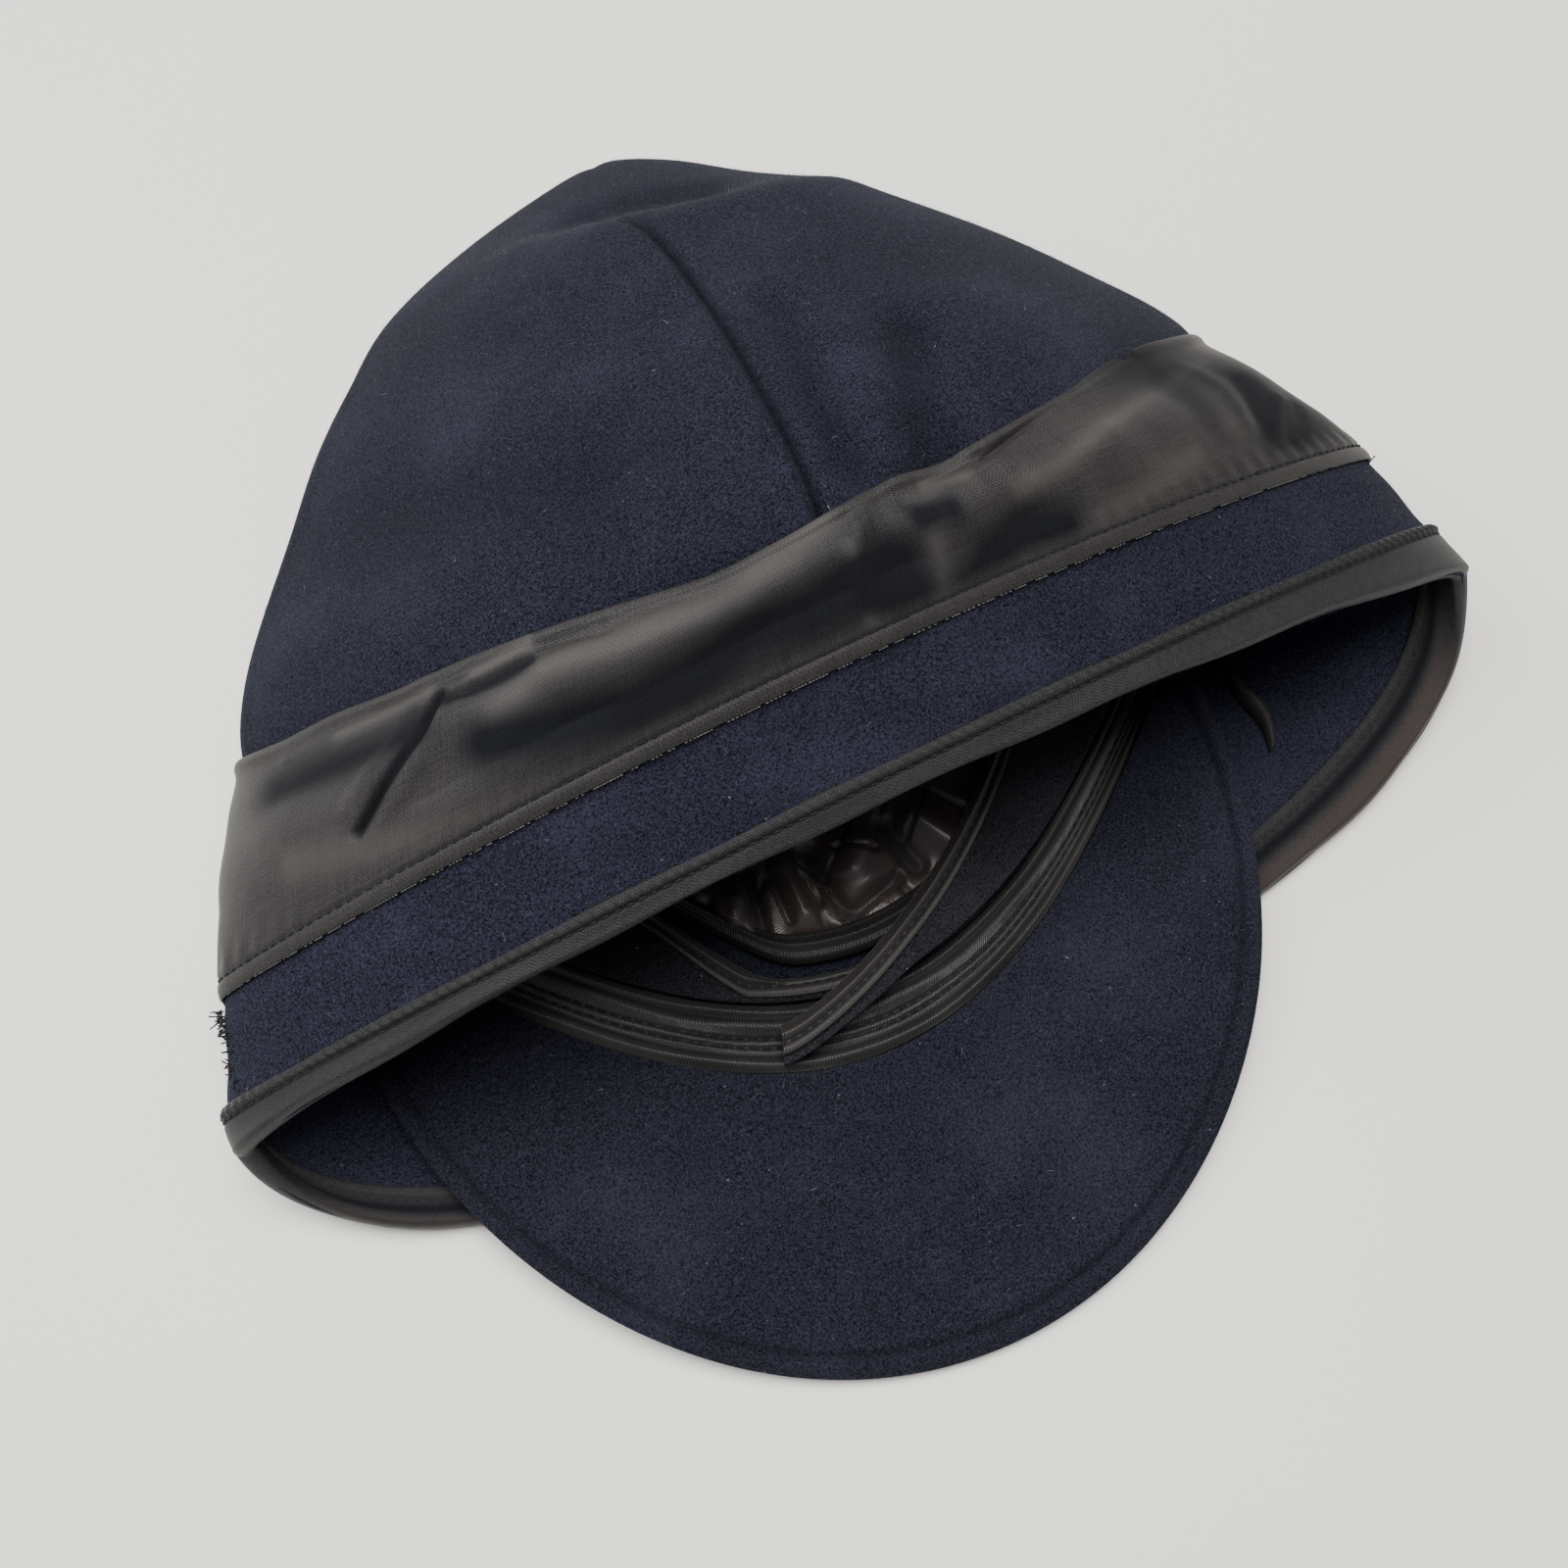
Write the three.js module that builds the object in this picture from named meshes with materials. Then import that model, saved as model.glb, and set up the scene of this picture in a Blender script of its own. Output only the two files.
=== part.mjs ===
// A navy wool cap with a pull-down ear band, lying on its front with the mouth towards -Y.
// The crown is four sewn panels. A stiff peak is sewn to the front of the crown's rim and lies
// underside up. A wool ear band, bound with tape, hangs from a thin woven strip round the crown.
// Millimetres, +Z up, the floor at z = 0, +X to the cap's side, +Y from the mouth to the tip.
import * as THREE from 'three';

// Cloth thicknesses and the gap that neighbouring layers keep
const wool = 2.0;
const strip = 1.0;
const tape = 0.8;
const ribbon = 1.2;
const satin = 1.0;
const gap = 0.35;

// Mesh resolution: stations round a full hoop
const round = 48;
const turn = 2 * Math.PI;

// The crown as hoops from the rim to the tip. A hoop lies on its front: front, side and back are
// the y of its lowest, widest and highest points; centre is the x of its lowest point and lean how
// far its highest point stands to +X of that; half is half its width; low, mid and high are the z
// of its lowest, widest and highest points; reach says how sharply the front point stands forward;
// peaked is 0 for a round top and 1 for a steep one; yaw turns the hoop about Z, in degrees.
const crownHoops = [
  { front: -61, side: 8, back: -10, centre: -3.5, lean: 11, half: 106, low: 3.7, mid: 27, high: 60, reach: 2.85, peaked: 0.5, yaw: -3.5 },
  { front: -38, side: 18, back: 0, centre: 1, lean: 9, half: 105, low: 3.7, mid: 31, high: 73, reach: 2.4, peaked: 0.5, yaw: -2 },
  { front: -12, side: 36, back: 11, centre: 2.5, lean: 10, half: 104, low: 1.7, mid: 34.5, high: 87, reach: 1.8, peaked: 0.5, yaw: 0 },
  { front: 14, side: 48, back: 25, centre: 2, lean: 12, half: 100, low: -0.6, mid: 35, high: 88, reach: 1.5, peaked: 0.55, yaw: 0 },
  { front: 40, side: 65, back: 43, centre: 0, lean: 15, half: 89, low: -0.8, mid: 34.5, high: 83.5, reach: 1.4, peaked: 0.55, yaw: -0.3 },
  { front: 66, side: 85, back: 66, centre: 0, lean: 16, half: 76, low: -0.8, mid: 32, high: 75, reach: 1.3, peaked: 0.6, yaw: -0.7 },
  { front: 90, side: 106, back: 92, centre: 2, lean: 13, half: 60, low: -0.4, mid: 28.5, high: 64, reach: 1.2, peaked: 0.6, yaw: -0.9 },
  { front: 112, side: 123, back: 111, centre: 7, lean: 5, half: 44.5, low: 0.6, mid: 22.5, high: 47.5, reach: 1, peaked: 0.4, yaw: 0 },
  { front: 131, side: 138, back: 129, centre: 15, lean: 1, half: 26, low: 3, mid: 16.5, high: 32, reach: 1, peaked: 0.2, yaw: 0 },
  { front: 144.5, side: 147, back: 144, centre: 22.5, lean: 0, half: 8, low: 8, mid: 13, high: 19, reach: 1, peaked: 0, yaw: 0 },
  { front: 148, side: 148, back: 148, centre: 24, lean: 0, half: 0.6, low: 12.4, mid: 13, high: 13.6, reach: 1, peaked: 0, yaw: 0 },
];

// The ear band and its strip as hoops of the wool's outer face: the bound edge, the inner edge of
// the binding, the line where the strip is sewn on, the bulge of the strip and the strip's top.
const bandHoops = [
  { front: -69.5, side: -27.5, back: -29.5, centre: 10, lean: -4, half: 132.5, low: 1.3, mid: 23, high: 60, reach: 1, peaked: 0.3, yaw: 0.2 },
  { front: -61.5, side: -18.5, back: -25, centre: 6.5, lean: 1, half: 131, low: 1.3, mid: 24, high: 63, reach: 1, peaked: 0.45, yaw: 1 },
  { front: -41.5, side: 0, back: -7.5, centre: 6, lean: 4, half: 123, low: 1.45, mid: 31.5, high: 74.5, reach: 1.15, peaked: 0.6, yaw: 0.7 },
  { front: -26, side: 20, back: 2.5, centre: 4, lean: 7, half: 113.5, low: 1.45, mid: 34.5, high: 86.5, reach: 1.5, peaked: 0.5, yaw: 0.5 },
  { ...crownHoops[2] },
];
const bindingLine = 1;
const sewingLine = 2;
const stripTop = bandHoops.length - 1;

// The peak: half an ellipse in front of the rim's arc, raised where it lies on the ear band
const peak = { centre: -7, back: -14, half: 91, reach: 105, rimAngle: 47, edgeAngle: 87, rise: 5, sideLift: 4 };
const peakCover = 1.5;

// Depths of the inner pieces from the rim, in mm, at angles in degrees from the front seam. The
// inner ear band starts under its own end, runs round over the left and back, and ends on the
// sweatband; edge and base are the depths of its bound edge and of its other edge, and rise the
// inward offset of its outer face.
const sweatbandDepth = 13;
const innerBand = [
  { angle: 14, edge: 20, base: 14.2, rise: 3.6 },
  { angle: 0, edge: 17, base: 14.2, rise: 3.6 },
  { angle: -12, edge: 17, base: 14.2, rise: 3.6 },
  { angle: -18, edge: 24, base: 14.2, rise: 3.6 },
  { angle: -24, edge: 33, base: 14.2, rise: 3.6 },
  { angle: -42, edge: 42, base: 14.2, rise: 3.6 },
  { angle: -90, edge: 46, base: 14.2, rise: 3.8 },
  { angle: -180, edge: 46, base: 14.2, rise: 5 },
  { angle: -300, edge: 52, base: 14.2, rise: 7 },
  { angle: -325, edge: 46, base: 14.2, rise: 7.9 },
  { angle: -339, edge: 35, base: 14.2, rise: 7.9 },
  { angle: -347, edge: 29, base: 14.2, rise: 7.9 },
  { angle: -356, edge: 22, base: 13.5, rise: 7.9 },
  { angle: -364, edge: 14, base: 7.5, rise: 7.9 },
  { angle: -371, edge: 7, base: 0.5, rise: 6 },
];

// The lining's mouth edge, and the hem roll along it, deeper than the inner ear band's left edge
const liningMouth = [
  { angle: 22, depth: 22 },
  { angle: 0, depth: 20.5 },
  { angle: -10, depth: 21 },
  { angle: -16, depth: 28 },
  { angle: -24, depth: 37 },
  { angle: -42, depth: 46 },
  { angle: -90, depth: 50 },
];

// Catmull-Rom value of every column of a table of hoops at row position v
function hoopAt(hoops, v) {
  const last = hoops.length - 1;
  const k = Math.min(Math.max(Math.floor(v), 0), last - 1);
  const t = v - k;
  const rows = [-1, 0, 1, 2].map((d) => hoops[Math.min(Math.max(k + d, 0), last)]);
  const mixed = {};
  for (const column of Object.keys(hoops[0])) {
    const [a, b, c, d] = rows.map((row) => row[column]);
    mixed[column] = b + 0.5 * t * (c - a + t * (2 * a - 5 * b + 4 * c - d + t * (3 * (b - c) + d - a)));
  }
  return mixed;
}

// The point of a hoop at an angle: 0 at its lowest point, a quarter turn at +X, half a turn on top
function hoopPoint(hoop, angle) {
  const c = Math.cos(angle);
  const toFront = c > 0 ? c ** hoop.reach : 0;
  const toBack = c < 0 ? (-c) ** 1.5 : 0;
  const x = hoop.half * Math.sin(angle) + (hoop.lean * (1 - c)) / 2;
  const y = hoop.front * toFront + hoop.back * toBack + hoop.side * (1 - toFront - toBack);
  const z = c > 0
    ? hoop.mid - (hoop.mid - hoop.low) * (1 - (1 - c) ** 3)
    : hoop.mid + (hoop.high - hoop.mid) * ((1 - hoop.peaked) * -c + hoop.peaked * c * c);
  const yaw = THREE.MathUtils.degToRad(hoop.yaw);
  return new THREE.Vector3(
    hoop.centre + x * Math.cos(yaw) - y * Math.sin(yaw),
    y * Math.cos(yaw) + x * Math.sin(yaw),
    Math.max(z, 0),
  );
}

// A surface from a table of hoops, pushed out along its normal by an offset. Near the last hoop
// the normal turns to the tip's own direction, so that the pushed hoops stay clear of each other.
function surface(hoops, tip) {
  const at = (angle, v) => hoopPoint(hoopAt(hoops, v), angle);
  const nudge = 0.02;
  return (angle, v, offset = 0) => {
    const p = at(angle, v);
    if (offset === 0) return p;
    const around = at(angle + nudge, v).sub(at(angle - nudge, v));
    const along = at(angle, Math.min(v + nudge, hoops.length - 1)).sub(at(angle, Math.max(v - nudge, 0)));
    const normal = along.cross(around).normalize();
    if (tip) normal.lerp(tip, Math.min(Math.max(v - (hoops.length - 3), 0), 1)).normalize();
    return p.addScaledVector(normal, offset);
  };
}

const crown = surface(crownHoops, new THREE.Vector3(0.1, 0.99, -0.05).normalize());
const band = surface(bandHoops);

// Value of one column of a table of angles, straight between its rows
function readAt(table, column, angle) {
  const falls = table[0].angle > table[table.length - 1].angle;
  const next = table.findIndex((row) => (falls ? row.angle <= angle : row.angle >= angle));
  if (next < 0) return table[table.length - 1][column];
  if (next === 0) return table[0][column];
  const [a, b] = [table[next - 1], table[next]];
  return a[column] + ((b[column] - a[column]) * (angle - a.angle)) / (b.angle - a.angle);
}

// Row position on the crown at a depth from the rim in mm, measured along the cloth
function rowAtDepth(angle, depth) {
  const pace = 0.04;
  let v = 0;
  let here = crown(angle, 0);
  for (let left = depth; left > 0 && v < crownHoops.length - 1;) {
    const next = crown(angle, v + pace);
    const stride = next.distanceTo(here);
    v += pace * Math.min(left / stride, 1);
    left -= stride;
    here = next;
  }
  return v;
}

const crownInside = (angle, depth, inward) => crown(angle, rowAtDepth(angle, depth), -inward);

// A closed solid between an outer and an inner grid of points, outer[i][j] and inner[i][j], with
// i round the piece and j across it. A ring closes on itself; an open strip gets end faces.
function shell(outer, inner, ring) {
  const corners = [];
  const quad = (a, b, c, d) => {
    for (const p of [a, b, c, a, c, d]) corners.push(p.x, p.y, p.z);
  };
  const n = outer.length;
  const m = outer[0].length - 1;
  for (let i = 0; i < (ring ? n : n - 1); i += 1) {
    const k = (i + 1) % n;
    for (let j = 0; j < m; j += 1) {
      quad(outer[i][j], outer[i][j + 1], outer[k][j + 1], outer[k][j]);
      quad(inner[i][j], inner[k][j], inner[k][j + 1], inner[i][j + 1]);
    }
    quad(inner[i][0], outer[i][0], outer[k][0], inner[k][0]);
    quad(outer[i][m], inner[i][m], inner[k][m], outer[k][m]);
  }
  if (!ring) {
    for (let j = 0; j < m; j += 1) {
      quad(outer[0][j], inner[0][j], inner[0][j + 1], outer[0][j + 1]);
      quad(inner[n - 1][j], outer[n - 1][j], outer[n - 1][j + 1], inner[n - 1][j + 1]);
    }
  }
  const geometry = new THREE.BufferGeometry();
  geometry.setAttribute('position', new THREE.Float32BufferAttribute(corners, 3));
  geometry.computeVertexNormals();
  return geometry;
}

// A wall on a surface: place(angle, v, offset) is sampled at the angles and the values of v
function wall(place, angles, vs, outside, inside, ring) {
  const grid = (offset) => angles.map((angle) => vs.map((v) => place(angle, v, offset)));
  return shell(grid(outside), grid(inside), ring);
}

const steps = (from, to, count) => Array.from({ length: count + 1 }, (_, i) => from + ((to - from) * i) / count);
const hoopAngles = steps(0, turn, round).slice(0, round);

const colours = { wool: 0x1b2133, strip: 0x33312f, tape: 0x2b2a29, ribbon: 0x211f1e, satin: 0x241c1b };
const finishes = { wool: 0.95, strip: 0.5, tape: 0.6, ribbon: 0.45, satin: 0.35 };
const cap = new THREE.Group();

function addPiece(name, geometry, cloth) {
  const material = new THREE.MeshStandardMaterial({ color: colours[cloth], roughness: finishes[cloth], metalness: 0 });
  const piece = new THREE.Mesh(geometry, material);
  piece.name = name;
  cap.add(piece);
}

// Crown panels: four gores that meet at seams on the front, the sides and the back
function addCrown() {
  const names = ['front_right', 'back_right', 'back_left', 'front_left'];
  const vs = [0, 0.5, 1, 1.5, 2, 2.6, 3.3, 4, 4.7, 5.4, 6.1, 6.8, 7.5, 8.2, 8.8, 9.3, 10];
  const perPanel = round / names.length;
  names.forEach((name, k) => {
    const place = (share, v, offset) => {
      const quarter = turn / names.length;
      const girth = 1.3 * hoopAt(crownHoops, v).half;
      const seam = (gap / 2 / girth) * quarter;
      return crown(k * quarter + seam + share * (quarter - 2 * seam), v, offset);
    };
    addPiece('crown_' + name, wall(place, steps(0, 1, perPanel), vs, 0, -wool, false), 'wool');
  });
}

// Ear band: a wool ring from the bound edge to a little past the strip's sewing line
function addEarBand() {
  addPiece('ear_band', wall(band, hoopAngles, [0, bindingLine, 1.5, sewingLine, 2.4], 0, -wool, true), 'wool');
}

// Binding: tape folded over the ear band's edge
function addEarBandBinding() {
  const fold = (offsetOut, offsetIn, reach) => hoopAngles.map((angle) => {
    const across = band(angle, 0).sub(band(angle, 0.25)).normalize();
    const nose = band(angle, 0, -wool / 2).addScaledVector(across, reach);
    return [band(angle, bindingLine, offsetIn), band(angle, 0, offsetIn), nose, band(angle, 0, offsetOut), band(angle, bindingLine, offsetOut)];
  });
  const inner = fold(gap, -wool - gap, gap);
  const outer = fold(gap + tape, -wool - gap - tape, gap + tape);
  addPiece('ear_band_binding', shell(outer, inner, true), 'tape');
}

// Strip: the thin woven cloth from the ear band's sewing line up to the crown
function addStrip() {
  const vs = [sewingLine - 0.08, sewingLine + 0.3, sewingLine + 0.7, 3.1, 3.55, stripTop];
  addPiece('band_strip', wall(band, hoopAngles, vs, gap + strip, gap, true), 'strip');
}

// Strip fold: a small pleat of the strip's cloth that stands beside the peak's right corner
function addStripFold() {
  const angles = steps(0.7, 0.8, 4);
  const height = (share) => wool + gap + 0.6 + 3 * Math.sin(Math.PI * share);
  const grid = (deep) => angles.map((angle, i) => [1.5, 1.7, 1.9, 2.1, 2.3].map((v, j) => band(
    angle + 0.1 * (v - 1.5), v, deep ? -wool - gap : -height((i / 4) * 0.8 + 0.1) - 0.15 * j,
  )));
  addPiece('strip_fold', shell(grid(true), grid(false), false), 'strip');
}

// Peak: two stiff wool covers face to face, from the rim's front arc to the half ellipse
function peakPoint(side, share, height) {
  const rim = crown(side * THREE.MathUtils.degToRad(peak.rimAngle), 0);
  const inside = crown(side * THREE.MathUtils.degToRad(peak.rimAngle), 0.05);
  const away = rim.clone().sub(inside).normalize();
  const theta = side * THREE.MathUtils.degToRad(peak.edgeAngle);
  const from = rim.addScaledVector(away, gap);
  const to = new THREE.Vector3(peak.centre + peak.half * Math.sin(theta), peak.back - peak.reach * Math.cos(theta), 0);
  const p = from.lerp(to, share);
  const beyond = Math.min(Math.max((-72 - p.y) / (peak.reach + peak.back * -1 - 72), 0), 1);
  const across = (p.x - peak.centre) / peak.half;
  p.z = peak.rise * (0.5 + 0.5 * Math.cos(Math.PI * beyond)) + peak.sideLift * across * across + height;
  return p;
}

function addPeak() {
  const grid = (height) => steps(-1, 1, 24).map((side) => steps(0, 1, 5).map((share) => peakPoint(side, share, height)));
  addPiece('peak_top_cover', shell(grid(peakCover), grid(0), false), 'wool');
  addPiece('peak_under_cover', shell(grid(2 * peakCover + 0.3), grid(peakCover + 0.3), false), 'wool');
}

// Sweatband: a ribbed band round the inside of the rim
function addSweatband() {
  const grid = (inward) => hoopAngles.map((angle) => steps(0.2, sweatbandDepth, 3).map((depth) => crownInside(angle, depth, inward)));
  addPiece('sweatband', shell(grid(wool + gap), grid(wool + gap + ribbon), true), 'ribbon');
}

// Inner ear band and its binding: a strip of wool that runs once round the inside and overlaps
function addInnerBand() {
  const first = innerBand[0].angle;
  const last = innerBand[innerBand.length - 1].angle;
  const stations = [...steps(last, -308, 13), ...steps(-300, -60, 16), ...steps(-48, first, 10)];
  const at = (angle, depth, inward) => crownInside(THREE.MathUtils.degToRad(angle), depth, inward);
  const cloth = 1.6;
  const legs = stations.map((angle) => {
    const [edge, base, rise] = ['edge', 'base', 'rise'].map((column) => readAt(innerBand, column, angle));
    return { angle, edge, base, rise, fold: edge - Math.min(5, edge - base - 0.4) };
  });
  const grid = (extra) => legs.map(({ angle, edge, base, rise, fold }) => [base, (base + fold) / 2, fold, edge]
    .map((depth) => at(angle, depth, rise + extra)));
  addPiece('inner_ear_band', shell(grid(0), grid(cloth), false), 'wool');
  const tapeFace = (spare) => legs.map(({ angle, edge, rise, fold }) => [
    at(angle, fold, rise - spare), at(angle, edge, rise - spare), at(angle, edge + spare, rise + cloth / 2),
    at(angle, edge, rise + cloth + spare), at(angle, fold, rise + cloth + spare),
  ]);
  addPiece('inner_ear_band_binding', shell(tapeFace(gap + tape), tapeFace(gap), false), 'tape');
}

// Lining: a satin skin from its mouth edge to the tip, crumpled where it shows in the mouth
function liningDepth(degrees) {
  const signed = degrees > 180 ? degrees - 360 : degrees;
  if (signed > 22) return signed < 60 ? 22 + ((signed - 22) * 28) / 38 : 50;
  return signed < -90 ? 50 : readAt(liningMouth, 'depth', signed);
}

function addLining() {
  const crumple = (degrees, past) => {
    const signed = degrees > 180 ? degrees - 360 : degrees;
    return 5 * Math.min(Math.max((past - 5) / 6, 0), 1) * Math.exp(-(((signed + 12) / 10) ** 2) - (((past - 15) / 10) ** 2));
  };
  const angles = steps(0, turn, 40).slice(0, 40);
  const pasts = [0, 5, 10, 16, 24];
  const shares = [0.2, 0.4, 0.6, 0.8, 1];
  const grid = (extra) => angles.map((angle) => {
    const degrees = THREE.MathUtils.radToDeg(angle);
    const mouth = liningDepth(degrees) + 0.5;
    const deep = rowAtDepth(angle, mouth + 24);
    return [
      ...pasts.map((past) => crownInside(angle, mouth + past, wool + 0.7 + crumple(degrees, past) + extra)),
      ...shares.map((share) => crown(angle, deep + share * (9.1 - deep), -(wool + 0.9 + extra))),
    ];
  });
  addPiece('lining', shell(grid(0), grid(satin), true), 'satin');
}

// Lining hem: a ribbed roll along the lining's mouth edge
function addLiningHem() {
  const stations = steps(-100, 18, 16);
  const section = (inner) => stations.map((angle) => {
    const depth = readAt(liningMouth, 'depth', angle);
    const at = (along, inward) => crownInside(THREE.MathUtils.degToRad(angle), depth + along, inward);
    return inner
      ? [at(0.4, 4.4), at(2.4, 4.2), at(4.6, 4.4)]
      : [at(0, 5), at(2.4, 6.6), at(5, 5)];
  });
  addPiece('lining_hem', shell(section(true), section(false), false), 'ribbon');
}

addCrown();
addPeak();
addSweatband();
addInnerBand();
addLining();
addLiningHem();
addEarBand();
addEarBandBinding();
addStrip();
addStripFold();

// The origin lies on the floor at the middle of the whole cap
cap.position.set(-8.1, -14.5, 0);

export default cap;
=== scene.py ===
import math

import bpy
import numpy as np
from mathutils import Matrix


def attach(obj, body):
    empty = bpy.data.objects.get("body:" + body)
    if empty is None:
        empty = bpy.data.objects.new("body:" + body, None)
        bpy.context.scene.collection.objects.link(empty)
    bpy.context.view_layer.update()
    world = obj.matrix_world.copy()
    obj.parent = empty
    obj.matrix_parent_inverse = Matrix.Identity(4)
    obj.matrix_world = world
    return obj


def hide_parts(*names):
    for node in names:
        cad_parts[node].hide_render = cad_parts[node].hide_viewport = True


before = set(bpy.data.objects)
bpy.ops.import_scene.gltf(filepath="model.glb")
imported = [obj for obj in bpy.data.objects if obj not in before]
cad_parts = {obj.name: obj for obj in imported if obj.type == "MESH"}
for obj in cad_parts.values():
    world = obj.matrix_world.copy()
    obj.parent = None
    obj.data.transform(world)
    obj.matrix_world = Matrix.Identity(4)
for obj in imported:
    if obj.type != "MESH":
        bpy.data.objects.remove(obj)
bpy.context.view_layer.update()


# CROWN. Four gores of thick navy melton wool, sewn edge to edge at the front, the sides and the
# back. The cap lies on its front, so this side is flat and the soft tip has sunk towards it.
# Each row is a hoop round the crown, from the rim to the tip, in millimetres and degrees.
hoop_columns = ("front", "side", "back", "centre", "lean", "half", "low", "mid", "high", "reach",
                "peaked", "yaw")
crown_hoops = np.array([
    (-61, 8, -10, -3.5, 11, 106, 3.7, 27, 60, 2.85, 0.5, -3.5),
    (-38, 18, 0, 1, 9, 105, 3.7, 31, 73, 2.4, 0.5, -2),
    (-12, 36, 11, 2.5, 10, 104, 1.7, 34.5, 87, 1.8, 0.5, 0),
    (14, 48, 25, 2, 12, 100, -0.6, 35, 88, 1.5, 0.55, 0),
    (40, 65, 43, 0, 15, 89, -0.8, 34.5, 83.5, 1.4, 0.55, -0.3),
    (66, 85, 66, 0, 16, 76, -0.8, 32, 75, 1.3, 0.6, -0.7),
    (90, 106, 92, 2, 13, 60, -0.4, 28.5, 64, 1.2, 0.6, -0.9),
    (112, 123, 111, 7, 5, 44.5, 0.6, 22.5, 47.5, 1, 0.4, 0),
    (131, 138, 129, 15, 1, 26, 3, 16.5, 32, 1, 0.2, 0),
    (144.5, 147, 144, 22.5, 0, 8, 8, 13, 19, 1, 0, 0),
    (148, 148, 148, 24, 0, 0.6, 12.4, 13, 13.6, 1, 0, 0),
])
wool_thick = 2.0
cloth_gap = 0.35
table_origin = np.array((8.1, 14.5, 0.0))
crown_tip_aim = np.array((0.1, 0.99, -0.05))


def hump(values, place, width):
    """A smooth hump of height 1 at a place, with a width to each side."""
    return np.exp(-((values - place) / width) ** 2)


def slope(values, start, span):
    """Rises from 0 at the start to 1 a span further on, or a span back where it is negative."""
    return np.clip((values - start) / span, 0, 1)


def walked(points, axis):
    """The length walked along lines of points, 0 at the first point of each."""
    step = np.linalg.norm(np.diff(points, axis=axis), axis=-1)
    return np.concatenate((0 * step.take([0], axis), np.cumsum(step, axis)), axis)


def hoop_point(hoops, angle, row):
    """Point of the hoop at a row position: angle 0 lies on the table, half a turn is on top."""
    angle, row = np.broadcast_arrays(np.asarray(angle, float), np.asarray(row, float))
    last = len(hoops) - 1
    k = np.clip(np.floor(row).astype(int), 0, last - 1)
    t = (row - k)[..., None]
    a, b, c, d = (hoops[np.clip(k + step, 0, last)] for step in (-1, 0, 1, 2))
    mixed = b + 0.5 * t * (c - a + t * (2 * a - 5 * b + 4 * c - d + t * (3 * (b - c) + d - a)))
    h = dict(zip(hoop_columns, np.moveaxis(mixed, -1, 0)))
    cos = np.cos(angle)
    to_front = np.where(cos > 0, np.maximum(cos, 0) ** h["reach"], 0)
    to_back = np.maximum(-cos, 0) ** 1.5
    x = h["half"] * np.sin(angle) + h["lean"] * (1 - cos) / 2
    y = h["front"] * to_front + h["back"] * to_back + h["side"] * (1 - to_front - to_back)
    lower = h["mid"] - (h["mid"] - h["low"]) * (1 - (1 - cos) ** 3)
    upper = h["mid"] + (h["high"] - h["mid"]) * ((1 - h["peaked"]) * -cos + h["peaked"] * cos ** 2)
    yaw = np.radians(h["yaw"])
    return np.stack((h["centre"] + x * np.cos(yaw) - y * np.sin(yaw),
                     y * np.cos(yaw) + x * np.sin(yaw),
                     np.maximum(np.where(cos > 0, lower, upper), 0)), -1)


def lay_cloth(hoops, angle, row, slip=0.0, lift=0.0, tip=None):
    """Points on a hooped surface, slipped along the cloth and lifted off it, in millimetres."""
    nudge = 0.02
    parts = (np.asarray(part, float) for part in (angle, row, slip, lift))
    angle, row, slip, lift = np.broadcast_arrays(*parts)
    here = hoop_point(hoops, angle, row)
    around = hoop_point(hoops, angle + nudge, row) - hoop_point(hoops, angle - nudge, row)
    ahead = np.minimum(row + nudge, len(hoops) - 1)
    behind = np.maximum(row - nudge, 0)
    along = hoop_point(hoops, angle, ahead) - hoop_point(hoops, angle, behind)
    along /= np.linalg.norm(along, axis=-1, keepdims=True)
    normal = np.cross(along, around)
    normal /= np.linalg.norm(normal, axis=-1, keepdims=True)
    if tip is not None:
        share = np.clip(row - (len(hoops) - 3), 0, 1)[..., None]
        normal = normal * (1 - share) + tip * share
        normal /= np.linalg.norm(normal, axis=-1, keepdims=True)
    return here + along * slip[..., None] + normal * lift[..., None]


def fold_relief(points, folds, side):
    """Lift of cloth from a table of folds: width, height, then x, y of each point of its line."""
    lift = np.zeros(points.shape[:-1])
    for width, height, *corners in folds:
        corners = np.reshape(corners, (-1, 2)).astype(float)
        miss = np.full(points.shape[:-1], np.inf)
        for start, way in zip(corners, np.diff(corners, axis=0)):
            reach = points[..., :2] - start
            share = np.clip(reach @ way / (way @ way), 0, 1)
            miss = np.minimum(miss, np.linalg.norm(reach - share[..., None] * way, axis=-1))
        lift += height * hump(miss, 0, width)
    return lift * side


def wall_section(rows, outside, inside, arc=5):
    """The outline of a cloth wall cut across: its row positions, slips and lifts, edges rounded."""
    middle, radius = (outside + inside) / 2, (outside - inside) / 2
    turn = np.linspace(90, -90, arc + 2)[1:-1]
    reach, climb = radius * np.cos(np.radians(turn)), radius * np.sin(np.radians(turn))
    rows = np.asarray(rows, float)
    row = np.concatenate((rows, np.full(arc, rows[-1]), rows[::-1], np.full(arc, rows[0])))
    slip = np.concatenate((0 * rows, reach, 0 * rows, -reach))
    lift = np.concatenate((0 * rows + outside, middle + climb, 0 * rows + inside, middle - climb))
    return row, slip, lift


def new_piece(name, data):
    """An object in the scene that holds a mesh, a lamp or a camera."""
    piece = bpy.data.objects.new(name, data)
    bpy.context.scene.collection.objects.link(piece)
    return piece


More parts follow.
